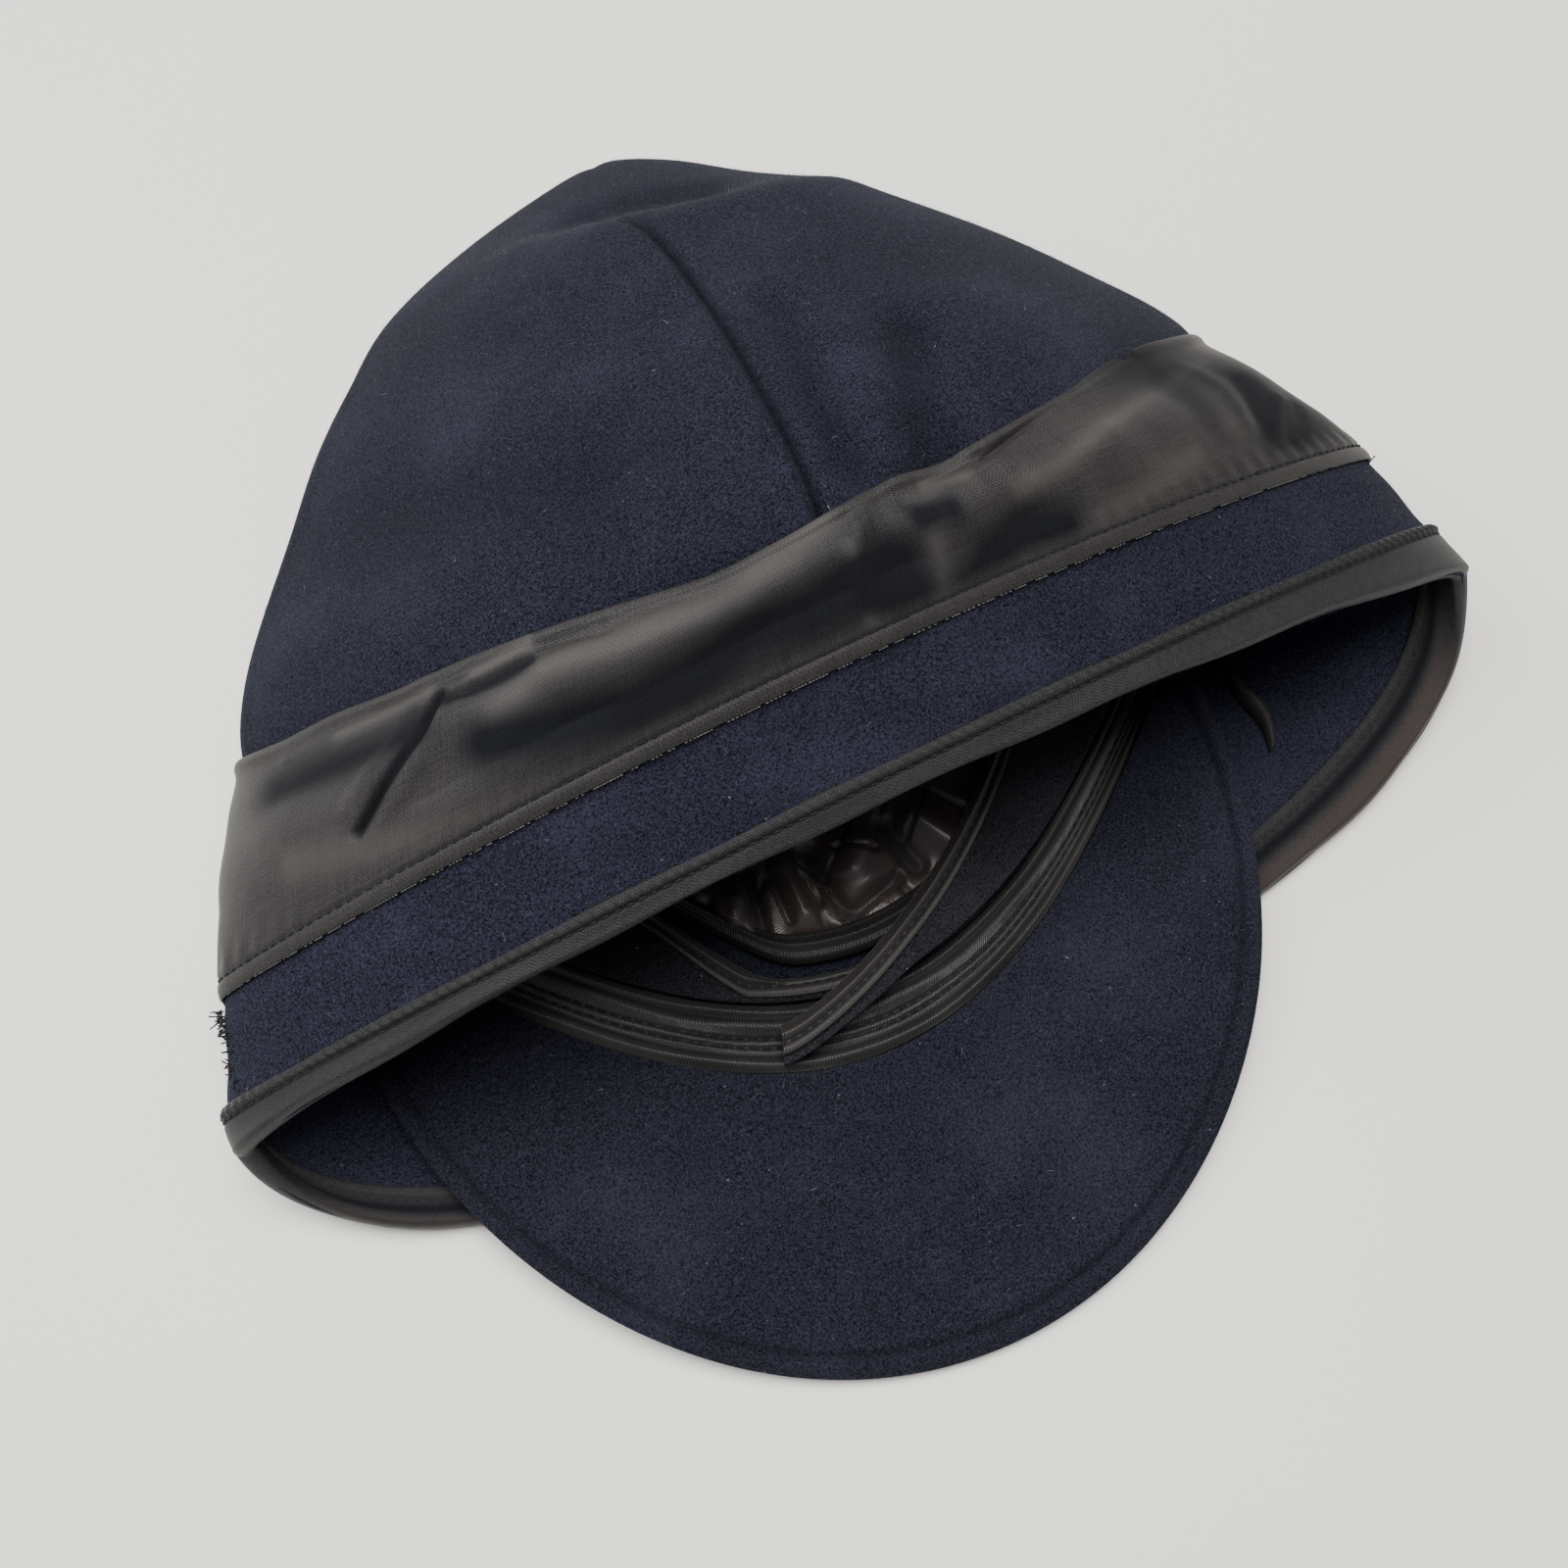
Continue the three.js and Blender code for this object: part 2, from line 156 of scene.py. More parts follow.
def sew_sweep(name, loops, closed, material, **marks):
    """A closed mesh from loops of points (stations, points, 3) in mm, with a UV map in metres.
    Marks are values from 0 to 1 at the points, such as where the nap stands or where painted shade or a
    painted highlight lies."""
    n, k = loops.shape[:2]
    spans = n if closed else n - 1
    i, j = np.meshgrid(np.arange(spans), np.arange(k), indexing="ij")
    i1, j1 = (i + 1) % n, (j + 1) % k
    faces = np.stack((i * k + j, i * k + j1, i1 * k + j1, i1 * k + j), -1).reshape(-1, 4)
    pace = np.linalg.norm(np.roll(loops, -1, 0) - loops, axis=-1).mean(1)
    u = np.concatenate(([0], np.cumsum(pace)))
    gaps = np.linalg.norm(np.roll(loops, -1, 1) - loops, axis=-1)
    w = np.concatenate((np.zeros((n, 1)), np.cumsum(gaps, 1)), 1)
    corners = np.stack((np.stack((u[i], w[i, j]), -1), np.stack((u[i], w[i, j + 1]), -1),
                        np.stack((u[i + 1], w[i1, j + 1]), -1), np.stack((u[i + 1], w[i1, j]), -1)), 2)
    corners = corners.reshape(-1, 4, 2)
    if not closed:
        half = np.arange(k // 2 - 1)
        first = np.stack((half, k - 1 - half, k - 2 - half, half + 1), -1)
        final = (first + (n - 1) * k)[:, ::-1]
        faces = np.concatenate((faces, first, final))
        corners = np.concatenate((corners, np.zeros((2 * len(half), 4, 2))))
    points = (loops.reshape(-1, 3) - table_origin) * 0.001
    a, b, c, d = (points[faces[:, q]] for q in range(4))
    volume = np.einsum("ij,ij->", a, np.cross(b, c)) + np.einsum("ij,ij->", a, np.cross(c, d))
    if volume < 0:
        faces, corners = faces[:, ::-1], corners[:, ::-1]
    mesh = bpy.data.meshes.new(name)
    mesh.from_pydata(points.tolist(), [], faces.tolist())
    mesh.uv_layers.new(name="cloth").data.foreach_set("uv", (corners * 0.001).ravel())
    for label, values in marks.items():
        mark = mesh.attributes.new(label, "FLOAT", "POINT").data
        mark.foreach_set("value", np.broadcast_to(values, (n, k)).astype(float).ravel())
    mesh.shade_smooth()
    mesh.materials.append(material)
    return new_piece(name, mesh)


def fit_piece(piece, slot, *nodes):
    """The piece rides on the cap and stands for its CAD nodes, which it hides; slot is not used."""
    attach(piece, "root")
    if nodes:
        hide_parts(*nodes)
    return piece


def new_tree(name, kind, sockets):
    """A node group with named inputs and outputs: sockets are (name, in or out, type, default).
    Returns the group, and the sockets that its own nodes read from and write to."""
    tree = bpy.data.node_groups.new(name, kind)
    for label, side, form, default in sockets:
        socket = tree.interface.new_socket(label, in_out="INPUT" if side == "in" else "OUTPUT",
                                           socket_type="NodeSocket" + form)
        if default is not None:
            socket.default_value = default
    return tree, tree.nodes.new("NodeGroupInput").outputs, tree.nodes.new("NodeGroupOutput").inputs


def put(tree, kind, settings=None, **inputs):
    """Adds a node, sets its properties, and sets or links its inputs by socket name or number."""
    node = tree.nodes.new(kind)
    for key, value in (settings or {}).items():
        setattr(node, key, value)
    for key, value in inputs.items():
        numbered = key[0] == "n" and key[1:].isdigit()
        socket = node.inputs[int(key[1:]) if numbered else key.replace("_", " ")]
        if isinstance(value, bpy.types.NodeSocket):
            tree.links.new(value, socket)
        else:
            socket.default_value = value
    return node


def reckon(tree, operation, *values, clamp=False):
    """The result of a math node."""
    inputs = {f"n{i}": value for i, value in enumerate(values)}
    node = put(tree, "ShaderNodeMath", {"operation": operation, "use_clamp": clamp}, **inputs)
    return node.outputs["Value"]


def noise(tree, place, scale, detail=2.0, rough=0.5, twist=0.0):
    """The value of a noise at a place."""
    node = put(tree, "ShaderNodeTexNoise", Vector=place, Scale=scale, Detail=detail, Roughness=rough,
               Distortion=twist)
    return node.outputs["Fac"]


def ramp(tree, value, low, high, start=0.0, end=1.0):
    """A value's range from low to high, spread over start to end and held there beyond."""
    return put(tree, "ShaderNodeMapRange", n0=value, n1=low, n2=high, n3=start, n4=end).outputs["Result"]


def blend(tree, share, first, second, how="MIX"):
    """A colour between two by a share, or with MULTIPLY the first one dulled by the second."""
    return put(tree, "ShaderNodeMix", {"data_type": "RGBA", "blend_type": how}, n0=share, n6=first,
               n7=second).outputs[2]


def mark(tree, label):
    """The value of a mark that a piece carries at its points."""
    return put(tree, "ShaderNodeAttribute", {"attribute_name": label}).outputs["Fac"]


def cap_place(tree):
    """Where a point of the surface lies on the cap, in metres."""
    return put(tree, "ShaderNodeTexCoord").outputs["Object"]


def new_material(name, base, roughness, sheen=0.0, sheen_tint=(1, 1, 1, 1), sheen_rough=0.4,
                 specular=0.5):
    """A cloth material: returns it with its tree."""
    material = bpy.data.materials.new(name)
    material.use_nodes = True
    shader = material.node_tree.nodes["Principled BSDF"]
    values = {"Base Color": base, "Roughness": roughness, "Sheen Weight": sheen,
              "Sheen Tint": sheen_tint, "Sheen Roughness": sheen_rough, "Specular IOR Level": specular}
    for label, value in values.items():
        shader.inputs[label].default_value = value
    return material, material.node_tree


def dress(tree, colour, height=None, bump=0.0, distance=0.0, rough=None):
    """Feeds a material's shader with its colour, and with its bump and roughness where it has them."""
    shader = tree.nodes["Principled BSDF"]
    tree.links.new(colour, shader.inputs["Base Color"])
    if height is not None:
        relief = put(tree, "ShaderNodeBump", Height=height, Strength=bump, Distance=distance)
        tree.links.new(relief.outputs["Normal"], shader.inputs["Normal"])
    if rough is not None:
        tree.links.new(rough, shader.inputs["Roughness"])


# The nap of the wool: felted fibres as fine grain, paler fleck, and a slow shift of the dye
nap_group, nap_in, nap_out = new_tree("wool nap", "ShaderNodeTree", [
    ("Grain", "in", "Float", 3000.0), ("Dark", "in", "Color", (0.01, 0.012, 0.02, 1)),
    ("Light", "in", "Color", (0.03, 0.04, 0.07, 1)), ("Dust", "in", "Float", 0.1),
    ("Color", "out", "Color", None), ("Height", "out", "Float", None)])
nap_clump_scale, nap_dye_scale, nap_speck_scale = 1900.0, 34.0, 260.0
nap_dust_colour = (0.25, 0.26, 0.3, 1)
nap_place = cap_place(nap_group)
nap_grain = noise(nap_group, nap_place, nap_in["Grain"], 3.0, 0.7, 0.6)
nap_clump = noise(nap_group, nap_place, nap_clump_scale, 2.0, 0.6)
nap_dye = noise(nap_group, nap_place, nap_dye_scale, 3.0, 0.55)
nap_clumped = reckon(nap_group, "MULTIPLY_ADD", nap_clump, 1.5, -0.8)
nap_felt = reckon(nap_group, "ADD", ramp(nap_group, nap_grain, 0.33, 0.7), nap_clumped)
nap_dyed = reckon(nap_group, "MULTIPLY_ADD", nap_dye, 0.9, -0.42, clamp=True)
nap_tone = reckon(nap_group, "ADD", nap_felt, nap_dyed, clamp=True)
nap_colour = blend(nap_group, nap_tone, nap_in["Dark"], nap_in["Light"])
nap_speck = put(nap_group, "ShaderNodeTexVoronoi", Vector=nap_place, Scale=nap_speck_scale)
nap_lint = ramp(nap_group, nap_speck.outputs["Distance"], 0.09, 0.05)
nap_some = reckon(nap_group, "MULTIPLY", nap_lint, ramp(nap_group, nap_clump, 0.55, 0.7))
nap_dusty = reckon(nap_group, "MULTIPLY", nap_some, nap_in["Dust"], clamp=True)
nap_group.links.new(blend(nap_group, nap_dusty, nap_colour, nap_dust_colour), nap_out["Color"])
nap_group.links.new(nap_felt, nap_out["Height"])


def wool_material(name, dark, light, dust, bump=0.35):
    """Melton wool: the nap group's colour and height under a soft bluish sheen, darkened by painted shade
    where the piece marks it.
    """
    material, tree = new_material(name, dark, 0.95, sheen=0.04, sheen_tint=(0.65, 0.67, 0.8, 1),
                                  sheen_rough=0.42, specular=0.1)
    nap = put(tree, "ShaderNodeGroup", {"node_tree": nap_group}, Dark=dark, Light=light, Dust=dust)
    # Painted shade: the nap's colour is multiplied towards a dark grey-blue where shade is marked
    shaded = blend(tree, mark(tree, "hollow"), nap.outputs["Color"], (0.25, 0.26, 0.3, 1), "MULTIPLY")
    dress(tree, shaded, nap.outputs["Height"], bump, 0.0006)
    return material


crown_wool = wool_material("crown wool", (0.001, 0.0012, 0.0025, 1), (0.0285, 0.0303, 0.049, 1), 0.5)

# Soft folds of the crown's upper side, in mm: width, height, then x, y of each point of the fold
crown_folds = [
    (7, 1.1, -6, 111, 8, 104, 22, 97, 40, 96, 60, 98), (8, -2.2, 10, 118, 34, 109),
    (4.5, 0.9, 24, 66, 17, 16), (4.5, -1.8, 26, 60, 21, 18), (5, 1.1, 34, 46, 28, 18),
    (6, -2.0, 46, 42, 34, 10), (9, 0.9, 60, 46, 50, 22), (14, -0.8, -50, 60, -20, 40),
    (9, 0.8, -75, 45, -60, 35),
]
seam_dip, seam_width = 1.7, 1.2
seam_lip, seam_lip_from, seam_lip_width = 0.35, 4, 2.2
seam_fade_row, seam_fade_rows, seam_least = 7.4, 1.6, 0.15
nap_off_seam, nap_off_table = 1, 1.5
gore_rows = np.concatenate((np.linspace(0, 8, 120, endpoint=False), np.linspace(8, 10, 34)))


def crown_relief(points):
    """Folds, and the slow unevenness of felted cloth that has seen long wear."""
    x, y = points[..., 0], points[..., 1]
    ripple = 0.25 * np.sin(x / 9 + 1.3 * np.sin(y / 13)) + 0.22 * np.sin(y / 8.5 + x / 17 + 0.7)
    top = slope(points[..., 2], 25, 15)
    return fold_relief(points, crown_folds, top) + ripple * slope(points[..., 2], 12, 20)


def crown_panel(name, quarter):
    """One gore: its outer face dips into the seams at both sides."""
    share = (1 - np.cos(np.linspace(0, math.pi, 97))) / 2
    angle = ((quarter + share) * math.pi / 2)[:, None]
    row, slip, lift = wall_section(gore_rows, 0.0, -wool_thick, arc=3)
    base = hoop_point(crown_hoops, angle, row)
    arc = walked(base, 0)
    to_seam = np.minimum(arc, arc[-1] - arc)
    outer = (lift > -wool_thick / 2)
    fade = np.clip((seam_fade_row - row) / seam_fade_rows, seam_least, 1)
    dip = fade * (seam_lip * hump(to_seam, seam_lip_from, seam_lip_width)
                  - seam_dip * hump(to_seam, 0, seam_width))
    lifts = lift + crown_relief(base) + np.where(outer, dip, 0)
    slips = slip + np.where((row == gore_rows[-1]) & outer, 0.3, 0)
    points = lay_cloth(crown_hoops, angle, row, slips, lifts, crown_tip_aim)
    points[..., 2] = np.maximum(points[..., 2], np.where(outer, 0.0, 0.4))
    # Painted shade: the wool is darkened in the valleys of its folds and along the grooves of its seams
    dark = np.clip(-0.3 * crown_relief(base), 0, 0.5) + 0.9 * fade * hump(to_seam, 0, 0.9)
    nap = outer & (to_seam > nap_off_seam) & (points[..., 2] > nap_off_table)
    panel = sew_sweep(name, points, False, crown_wool, nap=nap, hollow=np.clip(dark, 0, 1))
    return fit_piece(panel, "crown_wool", name.replace("_wool", ""))


def plant(tree, points, shape, turn, size, spread, seed, material, out):
    """Ends a tree: sets a shape on points, its size spread a little, as plain mesh with a material."""
    vary = put(tree, "FunctionNodeRandomValue", {"data_type": "FLOAT"}, n2=spread[0], n3=spread[1],
               Seed=seed)
    whole = put(tree, "ShaderNodeCombineXYZ", X=size[0], Y=size[1], Z=size[2])
    scale = put(tree, "ShaderNodeVectorMath", {"operation": "SCALE"}, Vector=whole.outputs["Vector"],
                Scale=vary.outputs[1])
    placed = put(tree, "GeometryNodeInstanceOnPoints", Points=points, Instance=shape, Rotation=turn,
                 Scale=scale.outputs["Vector"])
    real = put(tree, "GeometryNodeRealizeInstances", Geometry=placed.outputs["Instances"])
    done = put(tree, "GeometryNodeSetMaterial", Geometry=real.outputs["Geometry"], Material=material)
    tree.links.new(done.outputs["Geometry"], out)


# The nap stands off the wool as short fibres, each a thin spike turned out from the cloth
fibre_tree, fibre_in, fibre_out = new_tree("standing nap", "GeometryNodeTree", [
    ("Cloth", "in", "Geometry", None), ("Density", "in", "Float", 300000.0),
    ("Length", "in", "Float", 0.0009), ("Width", "in", "Float", 0.000045), ("Tilt", "in", "Float", 1.25),
    ("Seed", "in", "Int", 1), ("Fibre", "in", "Material", None), ("Fibres", "out", "Geometry", None)])
fibre_tree.is_modifier = True
fibre_mark = put(fibre_tree, "GeometryNodeInputNamedAttribute", {"data_type": "FLOAT"}, Name="nap")
fibre_where = put(fibre_tree, "FunctionNodeCompare", {"data_type": "FLOAT", "operation": "GREATER_THAN"},
                  n0=fibre_mark.outputs["Attribute"], n1=0.5)
fibre_spots = put(fibre_tree, "GeometryNodeDistributePointsOnFaces", Mesh=fibre_in["Cloth"],
                  Selection=fibre_where.outputs["Result"], Density=fibre_in["Density"],
                  Seed=fibre_in["Seed"])
fibre_lean = put(fibre_tree, "FunctionNodeRandomValue", {"data_type": "FLOAT_VECTOR"}, n0=(-1, -1, -3),
                 n1=(1, 1, 3), Seed=11)
fibre_tilt = put(fibre_tree, "ShaderNodeVectorMath", {"operation": "SCALE"},
                 Vector=fibre_lean.outputs["Value"], Scale=fibre_in["Tilt"])
fibre_euler = put(fibre_tree, "FunctionNodeEulerToRotation", Euler=fibre_tilt.outputs["Vector"])
fibre_turn = put(fibre_tree, "FunctionNodeRotateRotation", {"rotation_space": "LOCAL"},
                 Rotation=fibre_spots.outputs["Rotation"], Rotate_By=fibre_euler.outputs["Rotation"])
fibre_spike = put(fibre_tree, "GeometryNodeMeshCone", Vertices=3, Radius_Top=0.0, Radius_Bottom=0.5,
                  Depth=1.0)
plant(fibre_tree, fibre_spots.outputs["Points"], fibre_spike.outputs["Mesh"],
      fibre_turn.outputs["Rotation"], (fibre_in["Width"], fibre_in["Width"], fibre_in["Length"]),
      (0.45, 1.3), 5, fibre_in["Fibre"], fibre_out["Fibres"])


def fibre_material(name, dark, light):
    """Loose wool fibres: a colour between two, changing from place to place."""
    material, tree = new_material(name, dark, 0.8, sheen=0.2)
    share = ramp(tree, noise(tree, cap_place(tree), 1500.0, 1.0), 0.52, 0.7)
    dress(tree, blend(tree, share, dark, light))
    return material


def grow_piece(piece, tree, values):
    """Runs a node tree on the piece with named inputs and keeps the plain mesh that comes out."""
    modifier = piece.modifiers.new(tree.name, "NODES")
    modifier.node_group = tree
    for label, value in values.items():
        modifier[tree.interface.items_tree[label].identifier] = value
    mesh = bpy.data.meshes.new_from_object(piece.evaluated_get(bpy.context.evaluated_depsgraph_get()))
    piece.modifiers.clear()
    piece.data = mesh
    return piece


def grow_nap(cloth, name, slot, fibre, **sizes):
    """Fibres that stand on a cloth piece where it is marked, as a piece of their own."""
    nap = grow_piece(new_piece(name, cloth.data), fibre_tree, {"Fibre": fibre, **sizes})
    return fit_piece(nap, slot)


nap_navy = fibre_material("navy fibre", (0.003, 0.0035, 0.006, 1), (0.17, 0.175, 0.215, 1))
lint_pale = fibre_material("pale lint", (0.1, 0.1, 0.11, 1), (0.4, 0.4, 0.42, 1))
lint_sizes = {"Length": 0.0018, "Width": 0.00006, "Tilt": 1.5}
for quarter, side in enumerate(("front_right", "back_right", "back_left", "front_left")):
    panel = crown_panel("crown_" + side + "_wool", quarter)
    grow_nap(panel, "crown_" + side + "_nap", "crown_wool", nap_navy, Density=800000.0, Seed=quarter)
    grow_nap(panel, "crown_" + side + "_lint", "crown_wool", lint_pale, Density=4000.0,
             Seed=quarter + 9, **lint_sizes)


# PEAK. Two covers of coarser navy wool over a stiff core, sewn together round the outside and to
# the crown's rim. It lies on the table with its underside up, over the ear band's front part.
peak_centre, peak_back, peak_half, peak_reach = -7.0, -14.0, 91.0, 105.0
peak_rim_angle, peak_edge_angle = math.radians(47), math.radians(87)
peak_rise, peak_side_lift, peak_cover = 5.0, 4.0, 1.5
peak_band_line = -72.0
peak_seam, peak_round = 3.4, 5

peak_wool = wool_material("peak wool", (0.0016, 0.0018, 0.0036, 1), (0.031, 0.032, 0.051, 1), 0.7, 0.5)


def peak_point(side, share, height):
    """Point of the peak: side -1 to 1 across, share 0 at the seam to 1 at the outer edge."""
    rim = lay_cloth(crown_hoops, side * peak_rim_angle, 0.0, slip=-cloth_gap)
    theta = side * peak_edge_angle
    edge = np.stack((peak_centre + peak_half * np.sin(theta), peak_back - peak_reach * np.cos(theta),
                     0 * theta), -1)
    share = share[..., None]
    point = rim * (1 - share) + edge * share
    beyond = np.clip((peak_band_line - point[..., 1]) / (peak_reach - peak_back + peak_band_line), 0, 1)
    across = (point[..., 0] - peak_centre) / peak_half
    point[..., 2] = (peak_rise * (0.5 + 0.5 * np.cos(math.pi * beyond))
                     + peak_side_lift * across ** 2 + height)
    return point


def peak_cover_piece(name, node, low, high, upper):
    """One cover, rounded at its outer edge, with the seam's groove near the edge."""
    side = np.linspace(-1, 1, 181)[:, None]
    share = 1 - (1 - np.linspace(0, 1, 70)) ** 1.6
    middle, radius = (low + high) / 2, (high - low) / 2
    arc = np.radians(np.linspace(90, -90, peak_round + 2)[1:-1])
    reach = np.concatenate((share, np.ones(peak_round), share[::-1], np.zeros(peak_round)))
    rise = np.concatenate((0 * share + high, middle + radius * np.sin(arc), 0 * share + low,
                           middle - radius * np.sin(arc)))
    push = np.concatenate((0 * share, radius * np.cos(arc), 0 * share, 0 * arc))
    side, reach, rise, push = np.broadcast_arrays(side, reach, rise, push)
    base = peak_point(side, reach, 0.0)
    across = np.linalg.norm(base[:, 0] - base[:, len(share) - 1], axis=-1)
    to_edge = (1 - reach) * across[:, None]
    top = (rise > middle) if upper else (rise < middle)
    seam = -0.8 * hump(to_edge, peak_seam, 0.7) + 0.4 * hump(to_edge, peak_seam / 2, 1.0)
    drop = -0.5 * np.clip(1 - to_edge / 1.2, 0, 1) ** 2
    waves = 0.18 * np.sin(base[..., 0] / 11 + base[..., 1] / 23) * np.sin(base[..., 1] / 14)
    rise = rise + np.where(top, (seam + drop + waves) * (1 if upper else -0.4), 0)
    point = peak_point(side, reach, rise)
    out = base - np.array((peak_centre, peak_back, 0))
    out[..., 2] = 0
    out /= np.linalg.norm(out, axis=-1, keepdims=True)
    point = point + out * push[..., None]
    point[..., 2] = np.maximum(point[..., 2], 0)
    # Painted shade along the groove of the seam near the peak's edge
    seam_shade = 0.4 * hump(to_edge, peak_seam, 0.8)
    cover = sew_sweep(name, point, False, peak_wool, nap=top | (to_edge < 2), hollow=seam_shade)
    return fit_piece(cover, "peak_wool", node)


peak_cover_piece("peak_top_wool", "peak_top_cover", 0.0, peak_cover, False)
peak_under = peak_cover_piece("peak_under_wool", "peak_under_cover", peak_cover + 0.1,
                              2 * peak_cover + 0.3, True)
grow_nap(peak_under, "peak_under_nap", "peak_wool", nap_navy, Density=1200000.0, Length=0.0008, Seed=21)
grow_nap(peak_under, "peak_under_lint", "peak_wool", lint_pale, Density=6000.0, Seed=22, **lint_sizes)


# SWEATBAND. A glossy black ribbon sewn round the inside of the rim, doubled over at its deep edge
# and held by two rows of stitches. Its front part also covers the seam of the peak.
depth_rows = np.linspace(0, len(crown_hoops) - 1, 401)


def lay_inside(degrees, depth, inward):
    """Points inside the crown: stations in degrees, depth from the rim and distance inward in mm."""
    angle = np.radians(degrees)[:, None]
    run = walked(hoop_point(crown_hoops, angle, depth_rows[None, :]), 1)
    depth, inward = np.broadcast_arrays(depth, inward)
    row = np.stack([np.interp(d, r, depth_rows) for d, r in zip(depth, run)])
    relief = crown_relief(hoop_point(crown_hoops, angle, row))
    return lay_cloth(crown_hoops, angle, row, 0.0, relief - inward, crown_tip_aim)


def closed_section(depth, near, far, arc=5):
    """A wall's outline between two faces, near the wool and far from it, with rounded edges."""
    middle, radius = (near + far) / 2, (far - near) / 2
    turn = np.radians(np.linspace(90, -90, arc + 2)[1:-1])
    depths = np.concatenate((depth, depth[-1] + 0.6 * np.cos(turn), depth[::-1],
                             depth[0] - 0.6 * np.cos(turn)))
    inward = np.concatenate((far, middle[-1] + radius[-1] * np.sin(turn),
                             (near + 0 * depth)[::-1], middle[0] - radius[0] * np.sin(turn)))
    return depths, inward


def cloth_material(name, base, lit, rough, pattern, sizes, bump, distance, sheen=0.15, specular=0.5,
                   shade=(0.3, 0.38, 0.55, 1), highlight_colour=(0.045, 0.031, 0.025, 1)):
    """A woven cloth: a weave's colour and height, darkened by painted shade and rougher where shade is
    marked, and lightened by a painted highlight where that is marked.
    """
    material, tree = new_material(name, base, rough, sheen=sheen, sheen_tint=(1, 0.95, 0.92, 1),
                                  sheen_rough=0.35, specular=specular)
    weave = put(tree, "ShaderNodeGroup", {"node_tree": pattern}, Base=base, Lit=lit, **sizes)
    hollow = mark(tree, "hollow")
    # Painted shade multiplies the weave's colour down, then the painted highlight colour is mixed in
    shaded = blend(tree, hollow, weave.outputs["Color"], shade, "MULTIPLY")
    worn = blend(tree, mark(tree, "worn"), shaded, highlight_colour)
    dress(tree, worn, weave.outputs["Height"], bump, distance, ramp(tree, hollow, 0.0, 1.0, rough, 0.85))
    return material


def new_weave(name, pitch):
    """A group for a weave's threads at any slant, with the cloth's own map straight and turned."""
    group, read, write = new_tree(name, "ShaderNodeTree", [
        ("Pitch", "in", "Float", pitch), ("Slant", "in", "Float", 0.0),
        ("Base", "in", "Color", (0.02, 0.02, 0.02, 1)), ("Lit", "in", "Color", (0.05, 0.05, 0.05, 1)),
        ("Color", "out", "Color", None), ("Height", "out", "Float", None)])
    place = put(group, "ShaderNodeUVMap", {"uv_map": "cloth"}).outputs["UV"]
    turned = put(group, "ShaderNodeVectorRotate", {"rotation_type": "Z_AXIS"}, Vector=place,
                 Angle=read["Slant"]).outputs["Vector"]
    return group, read, write, place, turned


# Ribs: one family of fine cords, with slubs that follow them and a slow change of tone; the cords' crests
# take the Lit colour, a painted highlight
rib_group, rib_in, rib_out, rib_place, rib_turned = new_weave("ribbed weave", 0.0009)
rib_slub_scale, rib_cloud_scale = 900.0, 60.0
rib_split = put(rib_group, "ShaderNodeSeparateXYZ", Vector=rib_turned)
rib_count = reckon(rib_group, "DIVIDE", rib_split.outputs["X"], rib_in["Pitch"])
rib_wave = reckon(rib_group, "SINE", reckon(rib_group, "MULTIPLY", rib_count, 2 * math.pi))
rib_height = reckon(rib_group, "MULTIPLY_ADD", rib_wave, 0.5, 0.5)
rib_slub = noise(rib_group, rib_place, rib_slub_scale, 3.0, 0.7)
rib_mixed = reckon(rib_group, "MULTIPLY", rib_height, rib_slub)
rib_tone = reckon(rib_group, "ADD", rib_mixed, noise(rib_group, rib_place, rib_cloud_scale), clamp=True)
rib_share = ramp(rib_group, rib_tone, 0.15, 1.15)
rib_group.links.new(blend(rib_group, rib_share, rib_in["Base"], rib_in["Lit"]), rib_out["Color"])
rib_group.links.new(reckon(rib_group, "MULTIPLY_ADD", rib_slub, 0.6, rib_height), rib_out["Height"])

# The ribbon's last colour is a painted highlight, mixed in where the piece marks it
ribbon_black = cloth_material("black ribbon", (0.0025, 0.0025, 0.0028, 1), (0.036, 0.0345, 0.033, 1), 0.3,
                              rib_group, {"Pitch": 0.00055, "Slant": 0.25}, 0.6, 0.0002, sheen=0.04,
                              specular=0.4, highlight_colour=(0.11, 0.106, 0.1, 1))
sweatband_depth = 13.0
sweatband_inward = (wool_thick + cloth_gap, wool_thick + cloth_gap + 1.2)
sweatband_rows = (5.2, 7.0)

band_degrees = np.linspace(-180, 180, 541)[:-1]
band_depth = np.linspace(0.2, sweatband_depth, 66)
swell = (1.1 * hump(band_depth, 1.9, 1.3) + 0.5 * hump(band_depth, 9.4, 1.4)
         + 0.45 * hump(band_depth, 12.2, 0.8) - 0.3 * hump(band_depth, 3.6, 0.6)
         - 0.35 * hump(band_depth, 11, 0.5)
         - 0.45 * sum(hump(band_depth, line, 0.35) for line in sweatband_rows))
depths, inward = closed_section(band_depth, sweatband_inward[0], sweatband_inward[1] + swell)
creep = 0.22 * np.sin(np.radians(band_degrees) * 150)[:, None] * hump(depths, 6.1, 1.6)
drift = 0.2 * np.sin(np.radians(band_degrees) * 23 + 0.6 * depths[:, None]).T
face = (inward > sweatband_inward[0] + 0.7)
# Painted shade in the ribbon's two grooves and along its stitch rows, and a painted highlight on the band
# about 34 degrees to each side of the front
sweatband_hollow = (0.8 * hump(depths, 3.6, 0.5) + 0.9 * hump(depths, 11, 0.45)
                    + 0.4 * sum(hump(depths, line, 0.4) for line in sweatband_rows))
sweatband_points = lay_inside(band_degrees, depths, inward + np.where(face, creep + drift, 0))
side_light = 0.45 * hump(np.abs(band_degrees[:, None] + 1), 34, 9)
fit_piece(sew_sweep("sweatband_ribbon", sweatband_points, True, ribbon_black,
                    hollow=np.clip(sweatband_hollow, 0, 1),
                    worn=side_light * (1 - np.clip(sweatband_hollow, 0, 1))), "ribbon", "sweatband")


